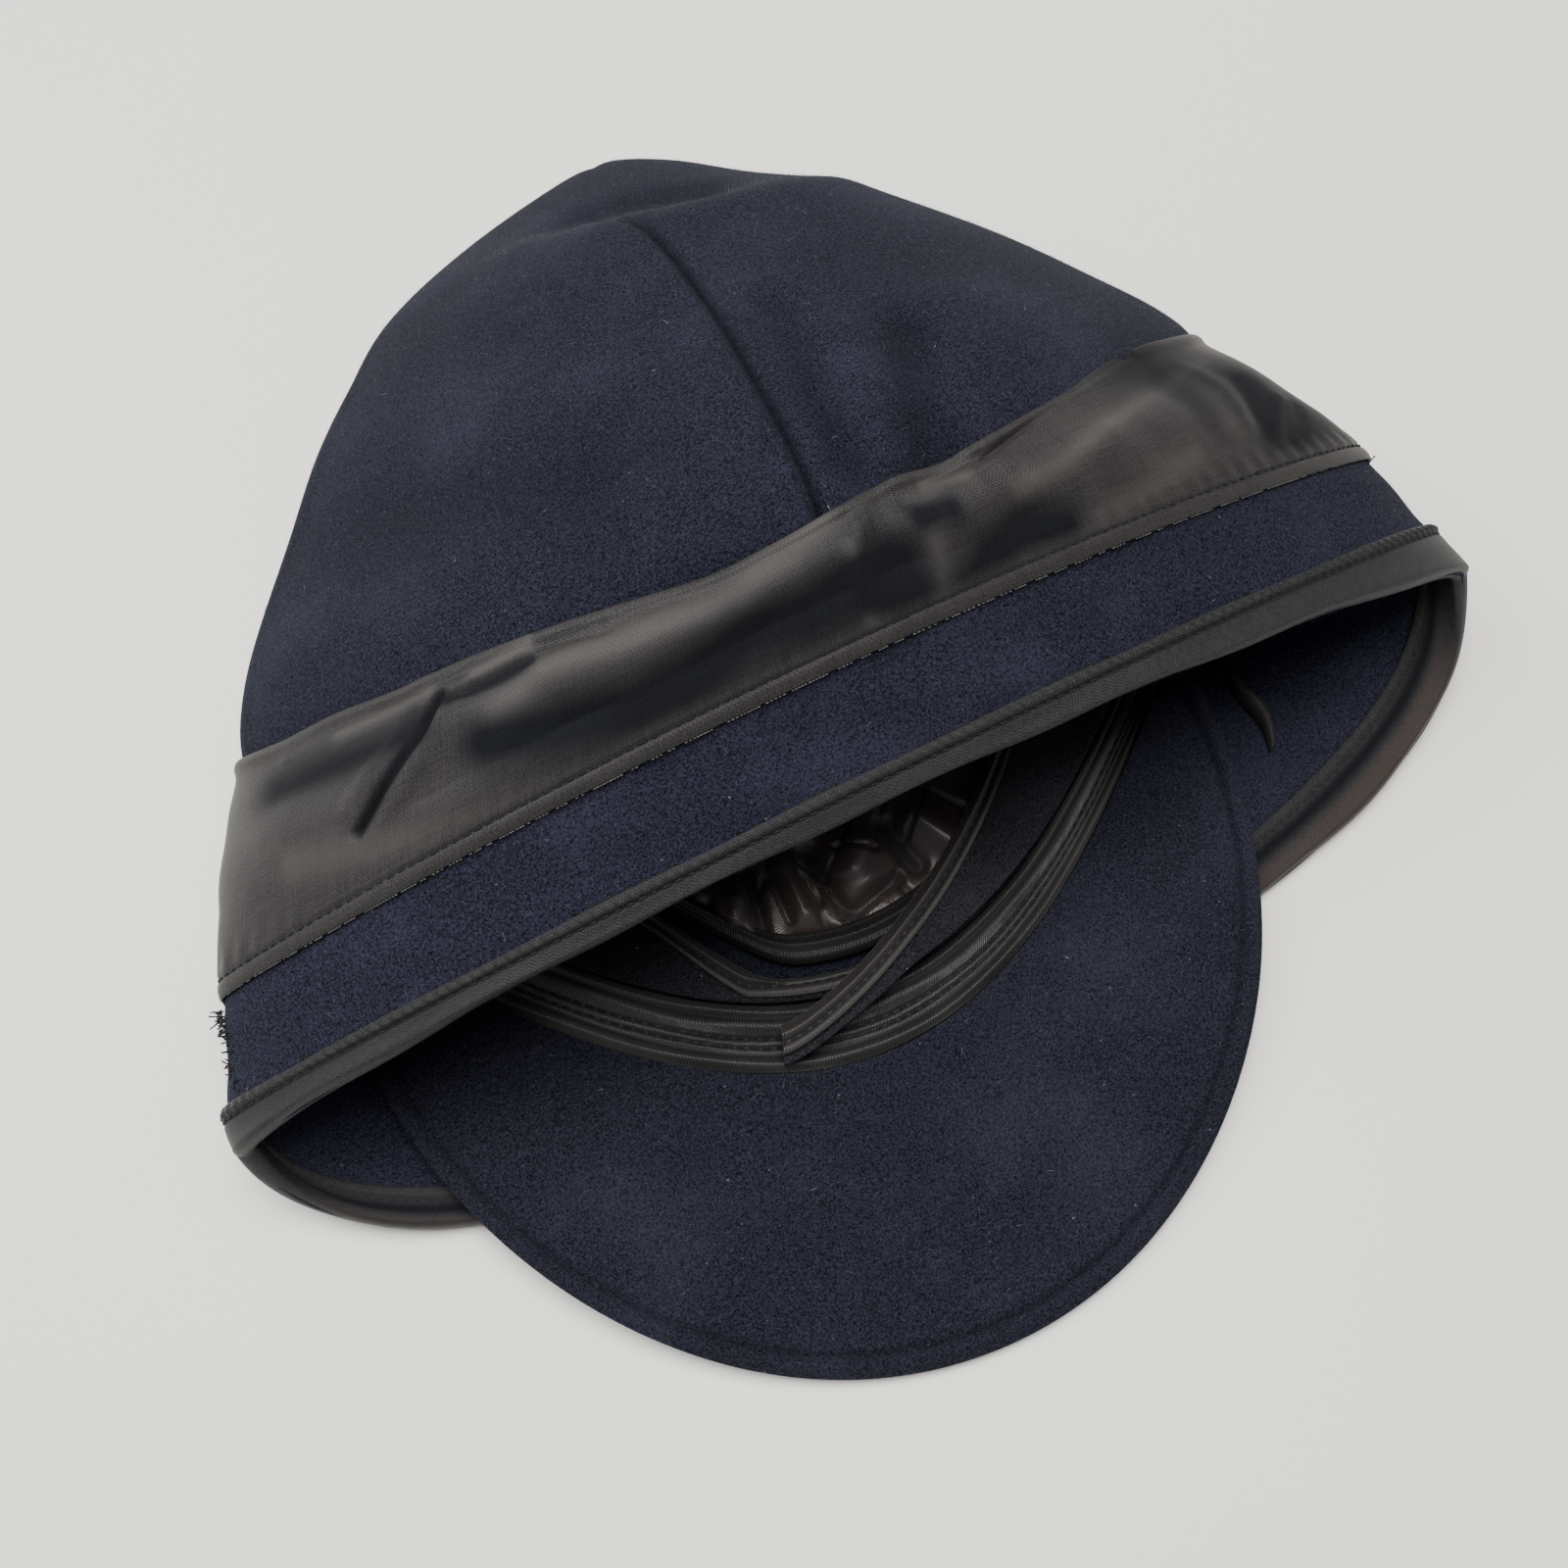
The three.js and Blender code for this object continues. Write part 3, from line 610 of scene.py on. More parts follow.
# Stitches along a path: each a small rounded stroke of thread, turned along the path
stitch_tree, stitch_in, stitch_out = new_tree("row of stitches", "GeometryNodeTree", [
    ("Path", "in", "Geometry", None), ("Pitch", "in", "Float", 0.0023), ("Stroke", "in", "Float", 0.0017),
    ("Thick", "in", "Float", 0.0004), ("Thread", "in", "Material", None),
    ("Stitches", "out", "Geometry", None)])
stitch_tree.is_modifier = True
stitch_curve = put(stitch_tree, "GeometryNodeMeshToCurve", Mesh=stitch_in["Path"])
stitch_spaced = put(stitch_tree, "GeometryNodeResampleCurve", {"mode": "LENGTH"},
                    Curve=stitch_curve.outputs["Curve"], Length=stitch_in["Pitch"])
stitch_way = put(stitch_tree, "GeometryNodeInputTangent")
stitch_up = put(stitch_tree, "GeometryNodeInputNamedAttribute", {"data_type": "FLOAT_VECTOR"},
                Name="outward")
stitch_along = put(stitch_tree, "FunctionNodeAlignRotationToVector", {"axis": "X"},
                   Vector=stitch_way.outputs["Tangent"])
stitch_turned = put(stitch_tree, "FunctionNodeAlignRotationToVector", {"axis": "Z", "pivot_axis": "X"},
                    Rotation=stitch_along.outputs["Rotation"], Vector=stitch_up.outputs["Attribute"])
stitch_ball = put(stitch_tree, "GeometryNodeMeshUVSphere", Segments=6, Rings=5, Radius=0.5)
stitch_smooth = put(stitch_tree, "GeometryNodeSetShadeSmooth", Geometry=stitch_ball.outputs["Mesh"])
plant(stitch_tree, stitch_spaced.outputs["Curve"], stitch_smooth.outputs["Geometry"],
      stitch_turned.outputs["Rotation"], (stitch_in["Stroke"], stitch_in["Thick"], stitch_in["Thick"]),
      (0.85, 1.15), 3, stitch_in["Thread"], stitch_out["Stitches"])


def stitch_row(name, slot, paths, thread, pitch=2.3, stroke=1.8, thick=0.42):
    """Rows of stitches along paths: each path is its points and outward directions, in mm."""
    points = np.concatenate([path for path, outward in paths])
    outward = np.concatenate([outward for path, outward in paths])
    edges, start = [], 0
    for path, _ in paths:
        edges += [(start + i, start + i + 1) for i in range(len(path) - 1)]
        start += len(path)
    mesh = bpy.data.meshes.new(name)
    mesh.from_pydata(((points - table_origin) * 0.001).tolist(), edges, [])
    mesh.attributes.new("outward", "FLOAT_VECTOR", "POINT").data.foreach_set("vector", outward.ravel())
    sizes = {"Pitch": pitch * 0.001, "Stroke": stroke * 0.001, "Thick": thick * 0.001}
    return fit_piece(grow_piece(new_piece(name, mesh), stitch_tree, {**sizes, "Thread": thread}), slot)


def thread_material(name, colour, lit):
    """Spun sewing thread with a faint twist."""
    material, tree = new_material(name, colour, 0.7, sheen=0.05, specular=0.2)
    fuzz = noise(tree, cap_place(tree), 3000.0)
    dress(tree, blend(tree, fuzz, colour, lit), fuzz, 0.5, 0.0002)
    return material


thread_dark = thread_material("dark thread", (0.006, 0.006, 0.008, 1), (0.02, 0.02, 0.022, 1))


def path_inside(degrees, depth, inward):
    """A path inside the crown, with the directions in which its stitches face."""
    _, depth, inward = np.broadcast_arrays(degrees, depth, inward)
    outer = lay_inside(degrees, depth[:, None], inward[:, None])[:, 0]
    inner = lay_inside(degrees, depth[:, None], inward[:, None] + 0.1)[:, 0]
    return outer, (inner - outer) / 0.1


front_degrees = np.linspace(-100, 100, 401)
stitch_row("sweatband_stitches", "ribbon",
           [path_inside(front_degrees, line, sweatband_inward[1] - 0.2) for line in sweatband_rows],
           thread_dark, pitch=2.5, stroke=1.9, thick=0.35)


# INNER EAR BAND. A second band of wool inside the mouth, bound with black tape. It starts under its
# own end, runs round over the left and the back, and its end lies across the sweatband.
# By degrees: how far its edge and its foot lie from the rim, and how far it stands off the wool
inner_band = np.array([
    (-371, 7, 0.5, 6), (-364, 14, 7.5, 7.9), (-356, 22, 13.5, 7.9), (-347, 29, 14.2, 7.9),
    (-339, 35, 14.2, 7.9), (-325, 46, 14.2, 7.9), (-300, 52, 14.2, 7), (-180, 46, 14.2, 5),
    (-90, 46, 14.2, 3.8), (-42, 42, 14.2, 3.6), (-24, 33, 14.2, 3.6), (-18, 24, 14.2, 3.6),
    (-12, 17, 14.2, 3.6), (0, 17, 14.2, 3.6), (14, 20, 14.2, 3.6),
])
inner_cloth = 1.6
tape_thick = 0.8
inner_wool = wool_material("inner wool", (0.005, 0.005, 0.0075, 1), (0.043, 0.043, 0.051, 1), 3.0, 0.6)
tape_black = cloth_material("black binding tape", (0.0085, 0.008, 0.0085, 1), (0.036, 0.032, 0.03, 1),
                            0.45, rib_group, {"Pitch": 0.0005, "Slant": 0.0}, 0.5, 0.0002)


def smooth_column(degrees, table_degrees, values, spread=2.5):
    """A table column read at angles, its corners eased over a few degrees."""
    ease = np.linspace(-2, 2, 17)
    share = np.exp(-ease ** 2)
    read = np.interp(degrees[:, None] + spread * ease, table_degrees, values)
    return (read * share).sum(-1) / share.sum()


inner_degrees = np.concatenate((np.linspace(-371, -308, 150), np.linspace(-307, -60, 130),
                                np.linspace(-59, 14, 150)))
edge, base, rise = (smooth_column(inner_degrees, inner_band[:, 0], inner_band[:, k]) for k in (1, 2, 3))
fold = edge - np.minimum(5, edge - base - 0.4)
across = np.linspace(0, 1, 40)[None, :]
leg = base[:, None] * (1 - across) + (edge - 0.3)[:, None] * across
turn = np.radians(np.linspace(90, -90, 7)[1:-1])[None, :]
rounding = (inner_cloth / 2 * np.sin(turn), inner_cloth / 2 * np.cos(turn))
low, high = rise[:, None], rise[:, None] + inner_cloth
felt = 0.2 * np.sin(inner_degrees / 7)[:, None] * np.sin(leg / 4)
depths = np.concatenate((leg, leg[:, -1:] + rounding[1], leg[:, ::-1], leg[:, :1] - rounding[1] * 0.5), 1)
inward = np.concatenate((high + felt, (low + high) / 2 + rounding[0], low + 0 * leg,
                         (low + high) / 2 - rounding[0]), 1)
inner_band_piece = sew_sweep("inner_ear_band_wool", lay_inside(inner_degrees, depths, inward), False,
                             inner_wool, nap=inward > high)
fit_piece(inner_band_piece, "band_wool", "inner_ear_band")
grow_nap(inner_band_piece, "inner_ear_band_lint", "band_wool", lint_pale, Density=70000.0,
         Length=0.0012, Tilt=1.4, Seed=41)

# Its tape: a wall round the band's edge, from one side over the nose to the other and back
width = (edge - fold)[:, None]
leg = fold[:, None] + width * np.linspace(0, 1, 22)[None, :]
spare_near, spare_far = cloth_gap, cloth_gap + tape_thick
nose = np.radians(np.linspace(90, -90, 13)[1:-1])[None, :]
middle = rise[:, None] + inner_cloth / 2
to_edge = edge[:, None] - leg
lip = 0.35 * hump(to_edge - width, -1.0, 0.9) - 0.25 * hump(to_edge - width, -2.2, 0.4)
body = np.clip((width - to_edge - 2.4) / (width - 2.4), 0, 1)
outer_leg = high + spare_far + lip + 1.2 * np.sin(math.pi * body) ** 0.8
inner_leg = low - spare_far + 0 * leg
depths = np.concatenate((leg, edge[:, None] + spare_far * np.cos(nose), leg[:, ::-1], leg,
                         edge[:, None] + spare_near * np.cos(nose), leg[:, ::-1]), 1)
inward = np.concatenate((outer_leg, middle + (inner_cloth / 2 + spare_far) * np.sin(nose),
                         inner_leg[:, ::-1], low - spare_near + 0 * leg,
                         middle - (inner_cloth / 2 + spare_near) * np.sin(nose),
                         (high + spare_near + 0 * leg)[:, ::-1]), 1)
fit_piece(sew_sweep("inner_ear_band_tape", lay_inside(inner_degrees, depths, inward), False, tape_black),
          "binding_tape", "inner_ear_band_binding")
stitch_row("inner_band_stitches", "binding_tape",
           [path_inside(inner_degrees, fold + 2.1, rise + inner_cloth + spare_far + 0.05)], thread_dark,
           pitch=2.4, stroke=1.8, thick=0.36)


# LINING. A thin brown-black satin bag inside the crown. Its mouth edge is turned under in a roll of
# ribbed ribbon, and behind the peak the satin has slumped into soft crumpled pillows.
# The lining's mouth by degrees round the cap: how far it lies from the rim
lining_mouth = np.array([(-90, 50), (-42, 46), (-24, 37), (-16, 28), (-10, 21), (0, 20.5), (22, 22),
                         (60, 50)])
satin_thick = 1.0
satin_black = cloth_material("brown black satin", (0.015, 0.0105, 0.01, 1),
                             (0.085, 0.062, 0.058, 1), 0.32, rib_group,
                             {"Pitch": 0.0004, "Slant": 0.9}, 0.3, 0.00015, specular=0.9,
                             shade=(0.12, 0.1, 0.1, 1))
# The satin's pillows and the creases between them: width, height, then x, y of each point
satin_folds = [
    (4.6, 4.4, -22, -22, -24, -28), (3.2, 4.0, -9.5, -20, -10, -30), (5.4, 5.0, 5, -24, 3, -27),
    (3.4, 3.0, 20, -22, 24, -30), (5, 3.4, -30, -12, -36, -16), (5, 3.0, -14, -8, -4, -10),
    (1.2, -3.4, -16.8, -16, -17.5, -24, -19.5, -32), (1.2, -3.4, -3.4, -18, -3.5, -26, -2, -33),
    (1.2, -2.8, -2, -34, 10, -31), (1.8, -3.2, 13, -20, 15, -30), (0.8, -1.8, -7, -22, -6, -29),
    (0.8, -1.6, -12.5, -20, -13, -30), (1.2, -2.2, -26, -20, -29, -26), (1.4, -2.0, -20, -34, -6, -36),
    (0.8, -1.2, 2, -20, 9, -24),
]
lining_degrees = np.concatenate((np.linspace(-180, -62, 40), np.linspace(-60, -44, 24)[:-1],
                                 np.linspace(-44, 30, 250), np.linspace(31, 60, 25),
                                 np.linspace(63, 180, 40)[:-1]))
mouth = smooth_column(lining_degrees, lining_mouth[:, 0], lining_mouth[:, 1]) + 0.5
satin_near, satin_beyond, satin_last_row = 44, 120, 9.1
past = np.concatenate((np.linspace(0, satin_near, 110),
                       satin_near + satin_beyond * np.linspace(0, 1, 60)[1:] ** 1.2))
angle = np.radians(lining_degrees)[:, None]
run = walked(hoop_point(crown_hoops, angle, depth_rows[None, :]), 1)
row_end = np.array([np.interp(satin_last_row, depth_rows, r) for r in run])
stretch = (past - satin_near) / (past[-1] - satin_near) * (row_end - mouth - satin_near)[:, None]
depths = mouth[:, None] + np.where(past < satin_near, past, satin_near + stretch)
beyond = depths - mouth[:, None]
satin_base = lay_inside(lining_degrees, depths, 0.0)
front = slope(satin_base[..., 2], 40, -10) * np.clip(beyond / 4, 0, 1)
crumple = 0.8 * np.clip(beyond / 6, 0, 1) + fold_relief(satin_base, satin_folds, front)
x, y = satin_base[..., 0], satin_base[..., 1]
crease = (hump(np.sin(x / 5.6 + 1.3 * np.sin(y / 6.1 + 0.6)), 0, 0.15)
          + 0.7 * hump(np.sin(y / 6.6 + 1.2 * np.sin(x / 5.3 + 1.1)), 0, 0.15)) * front
crumple = np.maximum(crumple + 0.5 * front - crease, -0.2)
# Painted shade in the satin's creases and in the sunken valleys between its pillows
satin_sunk = np.minimum(fold_relief(satin_base, satin_folds, front), 0)
satin_hollow = np.clip(0.75 * crease - 0.35 * satin_sunk, 0, 1)
near = wool_thick + 0.8 + crumple
far = near + satin_thick
loop_depth = np.concatenate((depths, depths[:, ::-4]), 1)
loop_inward = np.concatenate((far, near[:, ::-4]), 1)
satin = sew_sweep("lining_satin", lay_inside(lining_degrees, loop_depth, loop_inward), True, satin_black,
                  hollow=np.concatenate((satin_hollow, 0 * near[:, ::-4]), 1))
fit_piece(satin, "lining_satin", "lining")

# Two short zigzags of brown thread that gather the satin, each from degrees and depth to the same
satin_tacks = [((-4.4, 16.5), (-2.2, 12.0)), ((-3.0, 8.0), (0.4, 1.5)), ((2.2, 8.0), (4.2, 4.0))]
tack_paths = []
for start, finish in satin_tacks:
    along = np.linspace(0, 1, 13)[:, None]
    spot = np.array(start) * (1 - along) + np.array(finish) * along
    spot[:, 0] += 0.45 * np.where(np.arange(13) % 2, 1, -1)
    station = np.searchsorted(lining_degrees, spot[:, 0])
    column = np.searchsorted(past, spot[:, 1])
    tack_paths.append(path_inside(lining_degrees[station], depths[station, column],
                                  far[station, column] + 0.1))
thread_brown = thread_material("brown thread", (0.05, 0.037, 0.032, 1), (0.13, 0.1, 0.09, 1))
stitch_row("satin_tacks", "lining_satin", tack_paths, thread_brown, pitch=0.9, stroke=0.95, thick=0.35)

# The hem: a flat-footed roll of ribbon along the lining's mouth, with ribs over its back
hem_width, hem_ribs = 6.2, 2.5
hem_degrees = np.linspace(-100, 18, 240)
hem_mouth = smooth_column(hem_degrees, lining_mouth[:, 0], lining_mouth[:, 1])[:, None]
roll = np.linspace(0, 1, 40)[None, :]
roll_top = 4.9 + 2.6 * np.sin(math.pi * roll) ** 0.7 + 0.35 * np.sin(2 * math.pi * hem_ribs * roll)
roll_foot = 4.3 - 0.15 * np.sin(math.pi * roll)
hem_depth = hem_width * np.concatenate((roll, roll[:, ::-1]), 1)
hem_inward = np.concatenate((roll_top, roll_foot[:, ::-1]), 1)
fit_piece(sew_sweep("lining_hem_ribbon", lay_inside(hem_degrees, hem_mouth + hem_depth, hem_inward),
                    False, ribbon_black), "ribbon", "lining_hem")


# EAR BAND. A ring of the same navy wool that hangs round the crown's lower part and turns down over
# the ears. It is a little coarser on its inside, and its ends fray where they were cut.
band_hoops = np.array([
    (-69.5, -27.5, -29.5, 10, -4, 132.5, 1.3, 23, 60, 1, 0.3, 0.2),
    (-61.5, -18.5, -25, 6.5, 1, 131, 1.3, 24, 63, 1, 0.45, 1),
    (-41.5, 0, -7.5, 6, 4, 123, 1.45, 31.5, 74.5, 1.15, 0.6, 0.7),
    (-26, 20, 2.5, 4, 7, 113.5, 1.45, 34.5, 86.5, 1.5, 0.5, 0.5),
    tuple(crown_hoops[2]),
])
band_wool = wool_material("band wool", (0.0016, 0.0018, 0.0036, 1), (0.033, 0.0345, 0.058, 1), 0.6)
# Rows of the hoops: the tape's upper edge, the seam to the strip and the strip's folded top
binding_row, sewing_row, strip_top_row = 1.0, 2.0, 4.0


def spread_stations(count, dense):
    """Angles round the cap, closer together where each of (degrees, width, weight) asks."""
    around = np.linspace(0, 360, 3601)
    weight = 1 + sum(tall * np.exp(-((around - middle) / wide) ** 4) for middle, wide, tall in dense)
    run = np.concatenate(([0], np.cumsum(weight[:-1])))
    return np.radians(np.interp(np.linspace(0, run[-1], count, endpoint=False), run, around))[:, None]


ear_angles = spread_stations(520, [(180, 75, 1.2)])
row, slip, lift = wall_section(np.linspace(0, 2.4, 64), 0.0, -wool_thick, arc=3)
base = hoop_point(band_hoops, ear_angles, row)
ripple = 0.22 * np.sin(base[..., 0] / 8 + 0.4 * base[..., 1]) + 0.15 * np.sin(base[..., 0] / 3.7)
ear_points = lay_cloth(band_hoops, ear_angles, row, slip, lift + ripple * np.clip((row - 1) * 3, 0, 1)
                       * np.clip((2 - row) * 3, 0, 1))
ear_band = fit_piece(sew_sweep("ear_band_wool", ear_points, True, band_wool, nap=row < 2.05), "band_wool",
                     "ear_band")
grow_nap(ear_band, "ear_band_nap", "band_wool", nap_navy, Density=900000.0, Length=0.0008, Seed=31)
grow_nap(ear_band, "ear_band_lint", "band_wool", lint_pale, Density=6000.0, Seed=32, **lint_sizes)


# BINDING. Black tape with slanting ribs, folded over the ear band's free edge and held by one row of
# machine stitches close to its upper edge, which puffs up above them.

# Plain weave: threads over and under each other, with thicker threads here and there; the raised threads
# take the Lit colour, a painted highlight, mixed with random grain and streaks
weave_group, weave_in, weave_out, weave_place, weave_turned = new_weave("plain weave", 0.00035)
weave_grain_scale, weave_fine, weave_long = 2400.0, 1700, 110
weave_split = put(weave_group, "ShaderNodeSeparateXYZ", Vector=weave_turned)
weave_rate = reckon(weave_group, "DIVIDE", math.pi, weave_in["Pitch"])
weave_sines = [reckon(weave_group, "SINE", reckon(weave_group, "MULTIPLY", weave_split.outputs[axis],
                                                  weave_rate)) for axis in "XY"]
weave_ridges = [reckon(weave_group, "ABSOLUTE", sine) for sine in weave_sines]
weave_over = ramp(weave_group, reckon(weave_group, "MULTIPLY", *weave_sines), -0.25, 0.25)
weave_height = put(weave_group, "ShaderNodeMix", {"data_type": "FLOAT"}, n0=weave_over,
                   n2=weave_ridges[0], n3=weave_ridges[1]).outputs[0]
weave_slubs = [noise(weave_group, put(weave_group, "ShaderNodeVectorMath", {"operation": "MULTIPLY"},
                                      n0=weave_turned, n1=stretch).outputs["Vector"], 1.0)
               for stretch in ((weave_long, weave_fine, 1), (weave_fine, weave_long, 1))]
weave_streak = reckon(weave_group, "ADD", reckon(weave_group, "ADD", *weave_slubs), -0.5)
weave_grain = noise(weave_group, weave_place, weave_grain_scale)
weave_rough = reckon(weave_group, "MULTIPLY_ADD", weave_grain, 2.2, weave_streak)
weave_tone = reckon(weave_group, "MULTIPLY_ADD", weave_height, 1.6, weave_rough)
weave_share = ramp(weave_group, weave_tone, 1.7, 3.3)
weave_color = blend(weave_group, weave_share, weave_in["Base"], weave_in["Lit"])
weave_group.links.new(weave_color, weave_out["Color"])
weave_group.links.new(weave_height, weave_out["Height"])


def walked_round(edge):
    """The length walked round a closed edge, at each of its stations."""
    pace = np.linalg.norm(np.roll(edge, -1, 0) - edge, axis=-1)
    return (np.cumsum(pace) - pace[0])[:, None]


# Its highlight colour is left at the warm brown default, a painted reflection
bias_tape = cloth_material("bias binding tape", (0.003, 0.0029, 0.0034, 1), (0.03, 0.0285, 0.03, 1),
                           0.46, weave_group, {"Pitch": 0.00042, "Slant": 0.8}, 0.6, 0.00014,
                           sheen=0.03, specular=0.2, shade=(0.15, 0.18, 0.3, 1))
binding_angles = spread_stations(900, [(180, 80, 1.6)])
tape_in, tape_out = cloth_gap, cloth_gap + tape_thick
rows = np.linspace(binding_row, 0, 30)
hidden_rows = np.linspace(binding_row, 0, 5)
nose = np.radians(np.linspace(90, -90, 15)[1:-1])
round_end = np.radians(np.linspace(-90, 90, 6)[1:-1])
half_wool, half_tape = wool_thick / 2, tape_thick / 2
tape_end, flat, hidden_flat = half_tape * np.cos(round_end), 0 * rows, 0 * hidden_rows
row = np.concatenate((rows, 0 * nose, rows[::-1], 0 * round_end + binding_row, hidden_rows, 0 * nose,
                      hidden_rows[::-1], 0 * round_end + binding_row))
slip = np.concatenate((flat, -tape_out * np.cos(nose), flat, tape_end,
                       hidden_flat, -tape_in * np.cos(nose), hidden_flat, tape_end))
lift = np.concatenate((
    flat + tape_out, -half_wool + (half_wool + tape_out) * np.sin(nose), flat - wool_thick - tape_out,
    -wool_thick - tape_in - half_tape + half_tape * np.sin(round_end),
    hidden_flat - wool_thick - tape_in, -half_wool - (half_wool + tape_in) * np.sin(nose),
    hidden_flat + tape_in, tape_in + half_tape + half_tape * np.sin(round_end)))
base = hoop_point(band_hoops, binding_angles, row)
upper_edge = hoop_point(band_hoops, binding_angles, binding_row)
to_upper = np.linalg.norm(base - upper_edge, axis=-1)
walk = walked_round(upper_edge)
binding_pitch, binding_line = 2.35, 2.2
drawn = 1 + 0.8 * np.cos(2 * math.pi * (walk / binding_pitch + 0.25 * to_upper))
puff = (0.36 * hump(to_upper, 1.0, 0.8) * drawn - 0.35 * hump(to_upper, binding_line, 0.4)
        + 0.22 * np.sin(walk / 6.3) * hump(to_upper, 5, 2))
back = np.where(lift < -wool_thick - tape_in - half_tape, -0.7 * puff, 0)
lift = lift + np.where(lift > tape_in + half_tape, puff, back)
slip = slip * (1 + 0.3 * np.sin(walk / 6.7) * (np.abs(slip) > 0.05))
binding_points = lay_cloth(band_hoops, binding_angles, row, slip, lift)
binding_points[..., 2] = np.maximum(binding_points[..., 2], 0.02)
# Painted shade in a band along the middle of the tape's inner face and along its stitch line, and a
# painted warm reflection low on the inner face towards its folded edge
facing_in = lift < -wool_thick
tape_hollow = np.where(facing_in, hump(to_upper - binding_line, 2.2, 1.7),
                       0.7 * hump(to_upper, binding_line, 0.5))
tape_worn = 0.55 * slope(to_upper, 6, 2) * facing_in * slope(base[..., 2], 12, -6)
fit_piece(sew_sweep("ear_band_tape", binding_points, True, bias_tape, hollow=tape_hollow, worn=tape_worn),
          "binding_tape", "ear_band_binding")


def path_on(hoops, angles, row, slip, lift):
    """A closed path on a hooped surface, with the directions in which its stitches face."""
    angles = np.concatenate((angles, angles[:1] + 2 * math.pi))
    low = lay_cloth(hoops, angles, row, slip, lift)[:, 0]
    high = lay_cloth(hoops, angles, row, slip, lift + 0.1 * np.sign(lift))[:, 0]
    return low, (high - low) / 0.1


stitch_row("binding_stitches", "binding_tape",
           [path_on(band_hoops, binding_angles, binding_row, -binding_line, tape_out - 0.12),
            path_on(band_hoops, binding_angles, binding_row, -binding_line,
                    -wool_thick - tape_out + 0.1)],
           thread_dark, pitch=binding_pitch, stroke=1.75, thick=0.45)


# STRIP. A thin woven lining cloth that joins the ear band to the crown. It is folded over at its top
# and sewn to the ear band by one row of stitches above its raw, slightly frayed edge.
# Its shade colour is painted shade and its last colour a painted highlight, both mixed in where the strip
# marks them
strip_cloth = cloth_material("charcoal strip cloth", (0.005, 0.0046, 0.005, 1),
                             (0.046, 0.0415, 0.041, 1), 0.42, weave_group, {"Pitch": 0.00043},
                             0.6, 0.00012, sheen=0.03, specular=0.2,
                             shade=(0.14, 0.17, 0.27, 1), highlight_colour=(0.08, 0.074, 0.07, 1))
# Its wrinkles and the layers of its top hem: width, height, then x, y of each point
strip_folds = [
    (0.9, -2.8, -56.5, 16.5, -68, 10.6, -79.5, 4.8), (1.8, 0.9, -59, 19.8, -80, 8.8),
    (1.9, 0.9, -55, 14, -77, 2.6), (4.0, -2.0, -90, 22.2, -75.5, 17.4, -63.6, 14.4),
    (4.8, -2.8, -65.8, 5.2, -52.4, 4.2, -37.5, -1.7, -26.8, -3.8, -8.8, -3.1, 9.1, -0.6),
    (1.3, 1.5, -57.3, 17.2, -48.2, 15.8, -40.1, 15.3), (1.1, -1.5, -56, 14.6, -41, 12.8),
    (3.0, 1.5, -40.2, 9.4, -24.8, 5.4, -6.1, 2.8), (1.1, 1.0, -72.9, 28.6, -58.3, 21.8),
    (1.0, -1.0, -75, 25.6, -60, 19.2), (1.2, 0.8, -87, 27, -70, 22), (1.0, -0.9, -40, 15, -28, 10),
    (1.0, 0.7, -36, 16, -24, 11.4), (5.6, -3.0, 21, 0.6, 22.4, -7),
    (1.9, 1.6, 20, 10, 14.4, 2.4, 13.8, -6, 18, -11), (2.2, 1.1, 26.5, 3, 28.6, -2.6),
    (3.0, -2.6, 54, -2.2, 45, -1, 37.3, -2.8, 31.9, -6.6, 26, -10), (2.6, 1.4, 33.5, 10.4, 45, 9),
    (1.9, -1.4, 27, 8.2, 31.5, 5.6), (2.2, 1.3, 34, 3.6, 50, 4.2), (4, 0.8, 58, 1, 78, 7),
    (3.6, -1.1, 84, 26, 91, 8), (3.0, 1.1, 95, 22, 98, 6), (2.6, -1.2, 104, 17, 103, 5),
    (1.9, 1.2, 112, 12.5, 105, 3), (1.6, -1.2, 117, 11, 111.5, 3),
]
strip_hem = [(0.6, -0.9, 43, 10.6, 83.8, 26), (1.3, 0.5, 41, 13, 83.8, 29)]
# Where the strip turns away from the light: width and depth of shade, then x, y of each point
strip_shades = [
    (4.6, 0.95, 12.8, 0, 3.6, -1, -7.2, 0, -19.2, -1.9, -29.7, -1.4, -43.2, 1.4, -54, 5),
    (6.4, 1.0, 21.2, -0.4, 22.4, -7), (2.6, 0.7, 22.4, -8, 22.6, -13),
    (3.6, 0.95, 54, -2.2, 45, -0.8, 37.3, -2.8, 31.9, -6.3, 27, -12, 23, -15),
    (2.2, 0.9, 28, 5, 33, 4.4),
    (4.0, 0.85, -90, 22, -75.5, 17.2, -63, 13.8), (1.1, 1.0, -56.5, 16.5, -79.5, 4.8),
    (3.2, 0.5, 107, 16, 104, 4), (2.4, 0.5, 115, 10, 110, 2), (10, 0.72, 82, 25, 100, 18, 116, 6),
    (1.3, 0.8, -56, 14.4, -41, 12.8),
]
# Where its crests catch the light, in the same way
strip_lights = [
    (2.6, 0.6, -50, 8.6, -40.2, 9.2, -24.8, 6.8, -6.1, 4.8, 4, 7, 12, 10.5),
    (1.3, 0.8, 14.2, 4, 13.6, -4, 17, -11), (2.0, 0.6, 28.4, 1, 28.2, -5), (1.8, 0.6, 32, 9.6, 38, 8.4),
    (3.2, 0.45, -92, 7, -70, -2, -40, -9, -8, -9.5), (1.6, 0.5, 101, 23.5, 80, 14.4, 58, 6.4, 46, 3.6),
    (2.4, 0.4, 44, -7, 66, -2, 84, 3), (1.2, 0.6, -76, 23, -58, 18.4),
    (1.1, 0.7, -50, 16.6, -40, 15.6), (1.8, 0.4, 92, 20, 96, 6),
]
